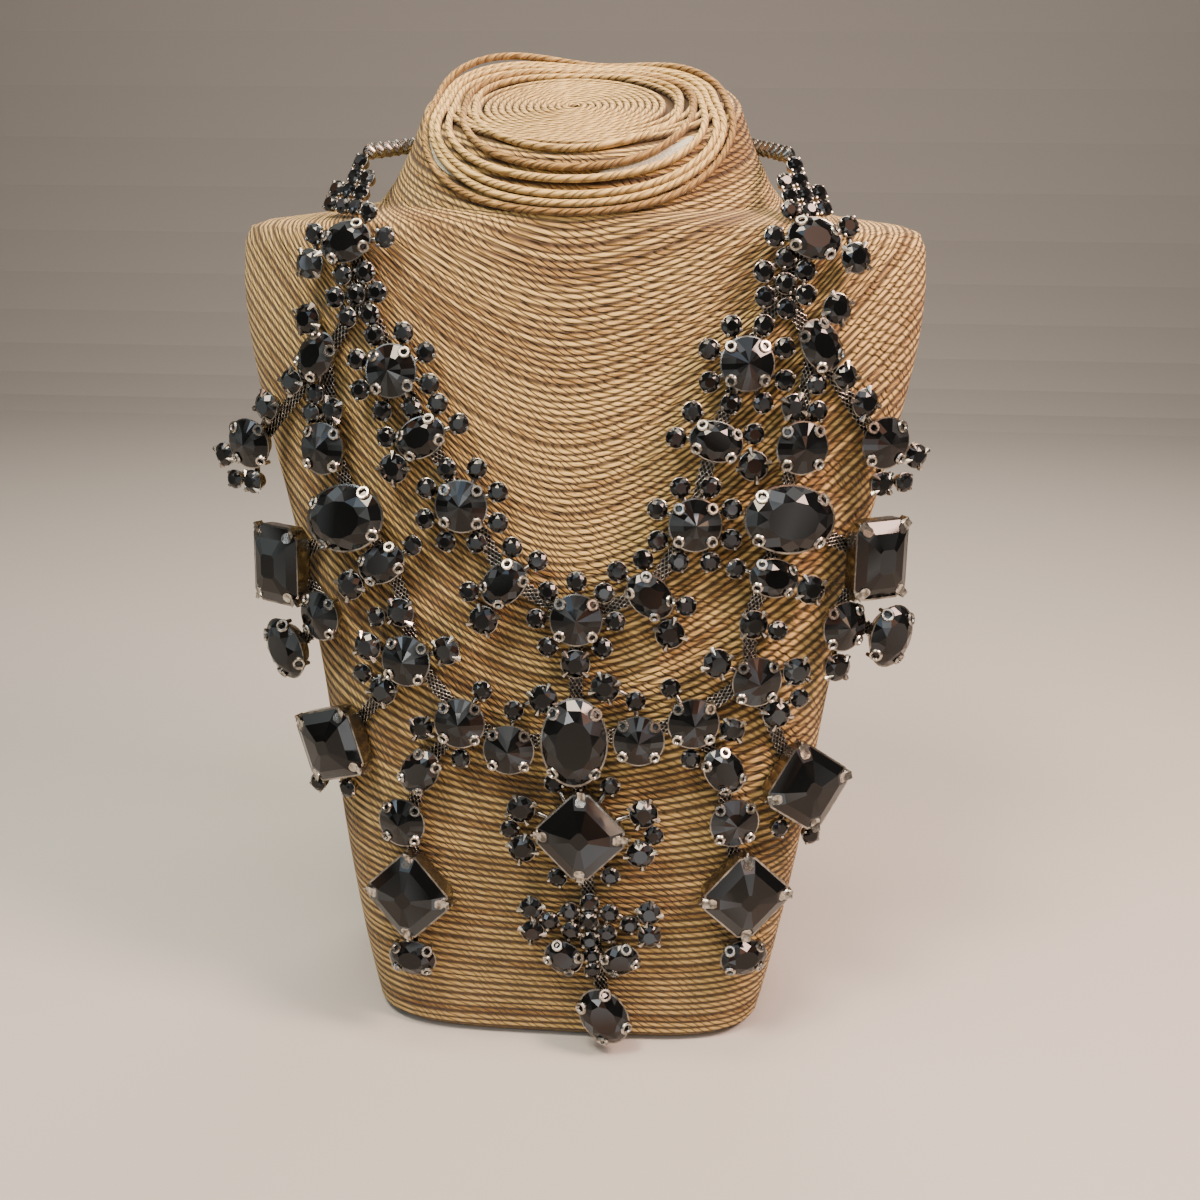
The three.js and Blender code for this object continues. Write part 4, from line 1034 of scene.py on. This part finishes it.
def edge_reach(stone, angle):
    """How far a stone's rim is from its middle in a direction, in millimetres."""
    c, s = abs(math.cos(angle)), abs(math.sin(angle))
    wide, high = stone["wide"] / 2, stone["high"] / 2
    if "corner" in stone:
        straight = min(wide / c if c > 1e-6 else 1e9, high / s if s > 1e-6 else 1e9)
        return min(straight, (wide + high - stone["corner"]) / (c + s))
    return 1 / math.hypot(c / wide, s / high)


def claw_places(stone):
    """The four claws' feet on the rim, each with its direction outwards, in degrees and millimetres."""
    for k in range(4):
        right, up = ((1, 1), (-1, 1), (-1, -1), (1, -1))[k]
        if "corner" in stone:
            inset = stone["corner"] / 2
            x, y = right * (stone["wide"] / 2 - inset), up * (stone["high"] / 2 - inset)
            yield x, y, math.atan2(up, right)
        else:
            angle = math.atan2(up, right)
            x, y = stone["wide"] / 2 * math.cos(angle), stone["high"] / 2 * math.sin(angle)
            out = math.atan2(y / (stone["high"] / 2) ** 2, x / (stone["wide"] / 2) ** 2)
            yield x, y, out


TAB_WIDE = 3.1  # the claws' sizes in millimetres
TAB_LONG = 2.3
TAB_THICK = 0.6
POINT_LONG = 2.3
POINT_RADIUS = 0.95
RING_RADIUS = 1.75
LARGE_RING_RADIUS = 2
RING_THICK = 0.52


def claws(name, stone):
    """Four claws from the rim, bent down on to the crown."""
    made = start_piece(name + "_claws")
    rim, kind = stone["girdle"], stone["claw"]
    for x, y, out in claw_places(stone):
        slope = crown_slope(stone, out)
        direction = Vector((math.cos(out), math.sin(out), 0))
        inwards = -direction * math.cos(slope) + Vector((0, 0, math.sin(slope)))
        foot = Vector((x, y, rim + 0.05))
        turn = Matrix.Rotation(out, 4, "Z") @ Matrix.Rotation(slope, 4, "Y")
        bpy.ops.mesh.select_all(action="DESELECT")
        if kind == "bead":
            size = stone["wide"] * 0.11
            centre = foot + inwards * size * 0.5
            bpy.ops.mesh.primitive_uv_sphere_add(
                segments=6, ring_count=4, radius=size * MM, location=centre * MM
            )
            bpy.ops.transform.resize(value=(1, 1, 0.8))
        elif kind == "point":
            centre = foot + inwards * 0.75 + Vector((0, 0, 0.12))
            bpy.ops.mesh.primitive_cone_add(
                vertices=6, radius1=POINT_RADIUS * MM, radius2=0.12 * MM, depth=POINT_LONG * MM,
                location=centre * MM,
                rotation=(turn @ Matrix.Rotation(-math.pi / 2, 4, "Y")).to_euler(),
            )
        elif kind == "ring":
            big = RING_RADIUS if stone["wide"] < 18 else LARGE_RING_RADIUS
            centre = foot + inwards * (big * 0.6) + Vector((0, 0, 0.3))
            bpy.ops.mesh.primitive_torus_add(
                major_segments=16, minor_segments=6, major_radius=(big - RING_THICK) * MM,
                minor_radius=RING_THICK * MM, location=centre * MM, rotation=turn.to_euler(),
            )
            bpy.ops.mesh.select_all(action="DESELECT")
            bpy.ops.mesh.primitive_cylinder_add(
                vertices=8, radius=0.6 * MM, depth=2.2 * MM,
                location=(foot + direction * 0.1 - Vector((0, 0, 0.8))) * MM,
            )
        else:
            inner_end = foot + inwards * TAB_LONG
            for where, kind_of_end in ((foot + inwards * TAB_LONG / 2, "strip"), (inner_end, "round")):
                where = (where + turn.to_3x3() @ Vector((0, 0, 0.25))) * MM
                bpy.ops.mesh.select_all(action="DESELECT")
                if kind_of_end == "round":
                    bpy.ops.mesh.primitive_cylinder_add(
                        vertices=14, radius=TAB_WIDE / 2 * MM, depth=TAB_THICK * MM, location=where,
                        rotation=turn.to_euler(),
                    )
                else:
                    bpy.ops.mesh.primitive_cube_add(size=1, location=where, rotation=turn.to_euler())
                    bpy.ops.transform.resize(
                        value=(TAB_LONG * MM, TAB_WIDE * MM, TAB_THICK * MM), orient_type="GLOBAL",
                        orient_matrix=turn.to_3x3().transposed(), orient_matrix_type="GLOBAL",
                    )
            bpy.ops.mesh.select_all(action="DESELECT")
            bpy.ops.mesh.primitive_cube_add(
                size=1, location=(foot + direction * 0.15 - Vector((0, 0, 1.4))) * MM, rotation=(0, 0, out)
            )
            bpy.ops.transform.resize(
                value=(TAB_THICK * MM, TAB_WIDE * MM, 3.2 * MM), orient_type="GLOBAL",
                orient_matrix=Matrix.Rotation(out, 3, "Z").transposed(), orient_matrix_type="GLOBAL",
            )
    return end_piece(made, True)


def setting(name, stone):
    """One finished setting, its back at z = 0: glass, cup and claws, in SETTING_MATERIALS' order."""
    pieces = [cut_stone(name, stone), cup(name, stone), claws(name, stone)]
    bm = bmesh.new()
    for piece in pieces:
        first = len(bm.faces)
        bm.from_mesh(piece.data)
        bm.faces.ensure_lookup_table()
        for face in bm.faces[first:]:
            face.material_index = pieces.index(piece)
        bpy.data.objects.remove(piece)
    mesh = bpy.data.meshes.new(name)
    bm.to_mesh(mesh)
    bm.free()
    return mesh


settings = {name: setting(name, stone) for name, stone in STONES.items()}


# The groups. Settings soldered back to back with short round bars under their cups, and sewn on the mesh
# ribbon through the bars. A group is one piece.
BAR_RADIUS = 0.8 * MM
BAR_LEVEL = 1.2 * MM
LEAN = math.radians(3.5)  # no two stones sit quite level in their cups


def facing(at, out, up):
    """The place of a setting that faces outwards, with its top towards up."""
    across = up.cross(out).normalized()
    basis = Matrix((across, out.cross(across), out)).transposed().to_4x4()
    return Matrix.Translation(at) @ basis


def copy_into(bm, mesh, place):
    """Adds a copy of a finished mesh at a place."""
    copied = mesh.copy()
    copied.transform(place)
    bm.from_mesh(copied)
    bpy.data.meshes.remove(copied)


def lean():
    """A small chance tilt."""
    return Matrix.Rotation(random.uniform(-LEAN, LEAN), 4, "X") @ Matrix.Rotation(
        random.uniform(-LEAN, LEAN), 4, "Y"
    )


def solder_bar(bm, start, end, place):
    """A round bar between the backs of two settings."""
    line = end - start
    middle = (start + end) / 2 + Vector((0, 0, BAR_LEVEL))
    turn = line.to_track_quat("Z", "Y").to_matrix().to_4x4()
    made = bmesh.ops.create_cone(
        bm, cap_ends=True, segments=8, radius1=BAR_RADIUS, radius2=BAR_RADIUS, depth=line.length,
        matrix=place @ Matrix.Translation(middle) @ turn,
    )
    for face in {f for v in made["verts"] for f in v.link_faces}:
        face.material_index = 1
        face.smooth = True


random.seed(5)
for node, group in places.items():
    main = STONES[group["stone"]]
    upright = facing(group["at"], group["normal"], Vector((0, 0, 1)))
    place = upright @ Matrix.Rotation(group["turn"], 4, "Z")
    bm = bmesh.new()
    copy_into(bm, settings[group["stone"]], place @ lean())
    stood = [(Vector((0, 0, 0)), (main["wide"] + main["high"]) / 4 * MM)]
    for small in group["small_ones"]:
        if small.get("only", group["side"]) != group["side"]:
            continue
        stone = STONES[small["stone"]]
        if "angle" in small:
            angle = math.radians(small["angle"])
            reach = edge_reach(main, angle) + stone["wide"] / 2 + small["gap"]
            x, y = reach * math.cos(angle), reach * math.sin(angle)
        else:
            x, y = small["across"] * CLUSTER_PITCH, small["up"] * CLUSTER_PITCH
        at = Vector((-group["side"] * x, y, 0)) * MM
        near, _ = min(stood, key=lambda other: (other[0] - at).length - other[1])
        if small.get("turn") is None:
            turn = math.atan2(at.y - near.y, at.x - near.x)
        else:
            turn = -group["side"] * math.radians(small["turn"])
        local = Matrix.Translation(at) @ Matrix.Rotation(turn, 4, "Z")
        copy_into(bm, settings[small["stone"]], place @ local @ lean())
        solder_bar(bm, near, at, place)
        stood.append((at, stone["wide"] / 2 * MM))
    piece = piece_from(bm, node + "_set", SETTING_MATERIALS)
    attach(piece, "root")
    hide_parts(node)


# The collar. A block of packed seed settings on each shoulder, soldered edge to edge, and from there a cup
# chain of the same settings round the nape, joined by short bars.
PAVE_ROWS = [[0], [-1, 0], [-1, 0, 1], [-1, 0, 1]]
PAVE_OUT = 2 * MM  # how far the block's middle stands out past the neck's side
PAVE_AT = Vector((NECK_WIDTH / 2 + PAVE_OUT, -5.8 * MM, SHOULDER_HEIGHT + 7.1 * MM))
PAVE_FACE = Vector((0.35, -0.78, 0.5))
PAVE_TOP = Vector((-0.3, 0.4, 0.8))
RIM_MEET = 0.15  # millimetres by which the cups of the block overlap
PAVE_PITCH = (STONES["seed"]["wide"] * math.cos(math.pi / 8) - RIM_MEET) * MM
CHAIN_LEVEL = 0.55
CHAIN_GAP = 1 * MM
CHAIN_THICK = 3.6 * MM
CHAIN_PITCH = 5.1 * MM
CHAIN_START = PAVE_AT + Vector((-3, 5, 9.5)) * MM
CHAIN_TURNS = [0.24, 0.38, 0.52, 0.66, 0.78, 0.89, 1]
CHAIN_ROLL = 0.47  # upward part of the cups' facing, since the neck's sides slope
CHAIN_ROLLED = 40 * MM  # how far from the nape it is reached
ROUTE_STEPS = 24  # between two places that the chain goes through
CLASP_LONG = 13 * MM
CLASP_WIDE = 5.5 * MM
CLASP_THICK = 3.2 * MM


def out_of_neck(at):
    """The level direction from the neck's middle to a place."""
    return Vector((at.x, at.y - NECK_MIDDLE, 0)).normalized()


def smooth_route(points, spacing):
    """Evenly spaced places on a smooth curve through the points, each with its direction."""
    padded = [points[0] * 2 - points[1], *points, points[-1] * 2 - points[-2]]
    fine = []
    for p0, p1, p2, p3 in zip(padded, padded[1:], padded[2:], padded[3:]):
        for k in range(ROUTE_STEPS):
            t = k / ROUTE_STEPS
            fine.append(
                0.5 * (2 * p1 + (p2 - p0) * t + (2 * p0 - 5 * p1 + 4 * p2 - p3) * t**2
                       + (3 * p1 - p0 - 3 * p2 + p3) * t**3)
            )
    fine.append(points[-1])
    lengths = lengths_along(fine)
    count = round(lengths[-1] / spacing)
    found = []
    for i in range(count + 1):
        k, share = leg_at(lengths, lengths[-1] * i / count)
        found.append((fine[k].lerp(fine[k + 1], share), (fine[k + 1] - fine[k]).normalized()))
    return found


clasp_end = CLASP_LONG / 2 + SETTING_GAP
for side, key in ((-1, "_left"), (1, "_right")):
    mirrored = Vector((side, 1, 1))
    face = (PAVE_FACE * mirrored).normalized()
    top = (PAVE_TOP * mirrored).normalized()
    block = facing(PAVE_AT * mirrored, face, top)
    bm = bmesh.new()
    for row, filled in enumerate(PAVE_ROWS):
        for column in filled:
            spot = Vector((side * column * PAVE_PITCH, (1.5 - row) * PAVE_PITCH, 0))
            copy_into(bm, settings["seed"], block @ Matrix.Translation(spot) @ lean())
    pave = piece_from(bm, "collar_pave" + key + "_set", SETTING_MATERIALS)
    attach(pave, "root")
    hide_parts("collar_pave" + key)

    route = [CHAIN_START * mirrored]
    last = math.acos(clasp_end / neck_point(CHAIN_LEVEL, 0).x)
    for share in CHAIN_TURNS:
        on = neck_point(CHAIN_LEVEL, last * share)
        on += out_of_neck(on) * (CHAIN_GAP + CHAIN_THICK / 2)
        route.append(on * mirrored)
    bm = bmesh.new()
    links = smooth_route(route, CHAIN_PITCH)
    for i, (at, along) in enumerate(links):
        out = out_of_neck(at) + Vector((0, 0, CHAIN_ROLL * min(1.0, abs(at.x) / CHAIN_ROLLED)))
        out = (out - along * out.dot(along)).normalized()
        back = at - out * CHAIN_THICK / 2
        copy_into(bm, settings["seed"], facing(back, out, along) @ lean())
        if i:
            down = Vector((0, 0, BAR_LEVEL))
            solder_bar(bm, links[i - 1][0] - down, at - down, Matrix.Identity(4))
    chain = piece_from(bm, "cup_chain" + key, SETTING_MATERIALS)
    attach(chain, "root")
    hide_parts("collar_chain" + key)


# The clasp. A plain plated box clasp at the nape with rounded ends, pressed from sheet. The chains are
# fixed to its ends.
bpy.ops.object.select_all(action="DESELECT")
clasp_low, clasp_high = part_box("clasp")
clasp_middle = (clasp_low + clasp_high) / 2
bpy.ops.mesh.primitive_cylinder_add(
    vertices=32, radius=CLASP_WIDE / 2, depth=CLASP_THICK, location=clasp_middle,
    rotation=(math.pi / 2, 0, 0),
)
clasp = bpy.context.object
clasp.name = "box_clasp"
bpy.ops.object.transform_apply(location=True, rotation=True, scale=True)
clasp_bm = bmesh.new()
clasp_bm.from_mesh(clasp.data)
for vertex in clasp_bm.verts:
    vertex.co.x += math.copysign((CLASP_LONG - CLASP_WIDE) / 2, vertex.co.x)
clasp_bm.to_mesh(clasp.data)
clasp_bm.free()
bpy.ops.object.mode_set(mode="EDIT")
bpy.ops.mesh.select_all(action="SELECT")
bpy.ops.mesh.normals_make_consistent(inside=False)
bpy.ops.object.mode_set(mode="OBJECT")
soften = clasp.modifiers.new("soften", "BEVEL")
soften.width = 0.6 * MM
soften.segments = 3
soften.limit_method = "ANGLE"
bpy.ops.object.modifier_apply(modifier="soften")
bpy.ops.object.shade_smooth_by_angle(angle=math.radians(35))
clasp.data.materials.append(gunmetal)
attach(clasp, "root")
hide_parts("clasp")


# The mesh ribbon. A flat tube knitted from fine plated wire, pulled tight behind the groups and sewn to
# their bars. It shows between the groups as crossing wires over a dark inside, whose darkness is painted
# shade.
WIRES = 7
WIRE_RADIUS = 0.17 * MM
WIRE_PERIOD = 2 * MM
WIRE_STEP = 0.5 * MM
WIRE_SWAY = 0.45 * MM  # how far a wire swings across the ribbon
WIRE_LIFT = 0.22 * MM  # and in and out, where it crosses its neighbours
WIRE_PROUD = 0.12 * MM
KNIT_SHADE = 1.11 * MM  # size of the darker and lighter places inside the tube
CORE_HALF = RIBBON_WIDTH / 2 - 0.5 * MM
CORE_CORNERS = ((1, -0.35), (1, -0.15), (-1, -0.15), (-1, -0.35))  # side, and millimetres off the middle
SIDE_ROUTES = [
    ["collar_oval", "collar_flower", "shoulder_oval", "side_stone", "side_large_oval", "side_small_oval",
     "outer_round", "outer_rivoli", "lower_rivoli", "inner_rivoli", "centre_oval"],
    ["collar_flower", "neckline_halo_upper", "neckline_oval_upper", "neckline_halo_lower",
     "neckline_oval_lower", "centre_halo"],
    ["shoulder_oval", "shoulder_arm"],
    ["side_large_oval", "side_rectangle", "side_rivoli", "side_slant_oval"],
    ["outer_rivoli", "outer_square"],
    ["lower_rivoli", "lower_oval", "drop_rivoli", "drop_square"],
]
MIDDLE_ROUTE = ["centre_halo", "centre_oval", "centre_square", "centre_cluster", "bottom_oval"]


def dark_wire():
    """The inside of the knitted tube, coloured dark as painted shade, which only shows between its wires."""
    material, tree = new_material("dark_wire")
    place = add_node(tree, "ShaderNodeTexCoord").outputs["Object"]
    knit = add_node(tree, "ShaderNodeTexNoise", {0: place, "Scale": 1 / KNIT_SHADE, "Detail": 2.0})
    shade = add_node(tree, "ShaderNodeValToRGB", {0: knit})
    set_ramp(shade, [(0, "#1c1b1a"), (1, "#5a5854")])
    shader = add_node(
        tree, "ShaderNodeBsdfPrincipled", {"Base Color": shade, "Metallic": 1.0, "Roughness": 0.45}
    )
    add_node(tree, "ShaderNodeOutputMaterial", {"Surface": shader})
    return material


def ribbon_frames(feet):
    """Fine stations along a run: middle of the ribbon, its direction across and the chest's normal."""
    frames = []
    legs = list(zip(feet, feet[1:]))
    for number, (a, b) in enumerate(legs):
        long = math.hypot(b.x - a.x, b.z - a.z)
        steps = max(2, round(long / (2 * MM)))
        for k in range(steps + (number == len(legs) - 1)):
            x, z = a.x + (b.x - a.x) * k / steps, a.z + (b.z - a.z) * k / steps
            normal = chest_normal(x, z)
            middle = Vector((x, chest_depth(x, z), z)) + normal * (RIBBON_GAP + RIBBON_THICK / 2)
            frames.append([middle, None, normal])
    for i, station in enumerate(frames):
        along = frames[min(i + 1, len(frames) - 1)][0] - frames[max(i - 1, 0)][0]
        station[1] = station[2].cross(along).normalized()
    return frames


def square_tube(bm, rings):
    """Closes rings of four corners to a tube, and gives its long faces first and its two ends last."""
    faces = []
    for a, b in zip(rings, rings[1:]):
        for k in range(4):
            faces.append(bm.faces.new((a[k], a[(k + 1) % 4], b[(k + 1) % 4], b[k])))
    return [*faces, bm.faces.new(rings[0][::-1]), bm.faces.new(rings[-1])]


def wire(bm, points):
    """A thin square-sided wire through points."""
    rings = []
    side = Vector((0, -1, 0))
    for i, point in enumerate(points):
        tangent = points[min(i + 1, len(points) - 1)] - points[max(i - 1, 0)]
        tangent.normalize()
        side = (side - tangent * side.dot(tangent)).normalized()
        other = tangent.cross(side)
        corners = (side, other, -side, -other)
        rings.append([bm.verts.new(point + corner * WIRE_RADIUS) for corner in corners])
    for face in square_tube(bm, rings)[:-2]:
        face.smooth = True


def foot_of(name, key):
    """Where a group's main stone stands on the chest."""
    return (places.get(name) or places[name + key])["foot"]


runs = [[foot_of(name, key) for name in route] for key in ("_left", "_right") for route in SIDE_ROUTES]
runs.append([foot_of(name, "") for name in MIDDLE_ROUTE])
ribbon_bm = bmesh.new()
for feet in runs:
    frames = ribbon_frames(feet)
    lengths = lengths_along([station[0] for station in frames])
    fine = []
    for i in range(round(lengths[-1] / WIRE_STEP) + 1):
        k, share = leg_at(lengths, min(i * WIRE_STEP, lengths[-1]))
        fine.append([frames[k][n].lerp(frames[k + 1][n], share) for n in range(3)])
    for number in range(WIRES):
        base = (number / (WIRES - 1) - 0.5) * (RIBBON_WIDTH - 1 * MM)
        points = []
        for i, (middle, across, normal) in enumerate(fine):
            phase = 2 * math.pi * i * WIRE_STEP / WIRE_PERIOD + math.pi * number
            sideways = base + WIRE_SWAY * math.sin(phase)
            proud = WIRE_LIFT * math.cos(phase) + WIRE_PROUD
            points.append(middle + across * sideways + normal * proud)
        wire(ribbon_bm, points)
    # The dark core stands in for the tube's shaded inside: painted shade.
    core = []
    for middle, across, normal in frames:
        corners = [middle + across * a * CORE_HALF + normal * h * MM for a, h in CORE_CORNERS]
        core.append([ribbon_bm.verts.new(corner) for corner in corners])
    for face in square_tube(ribbon_bm, core):
        face.material_index = 1
bmesh.ops.recalc_face_normals(ribbon_bm, faces=ribbon_bm.faces)
knitted_ribbon = piece_from(ribbon_bm, "knitted_ribbon", [highlight_plate, dark_wire()])
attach(knitted_ribbon, "root")
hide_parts("mesh_ribbon")
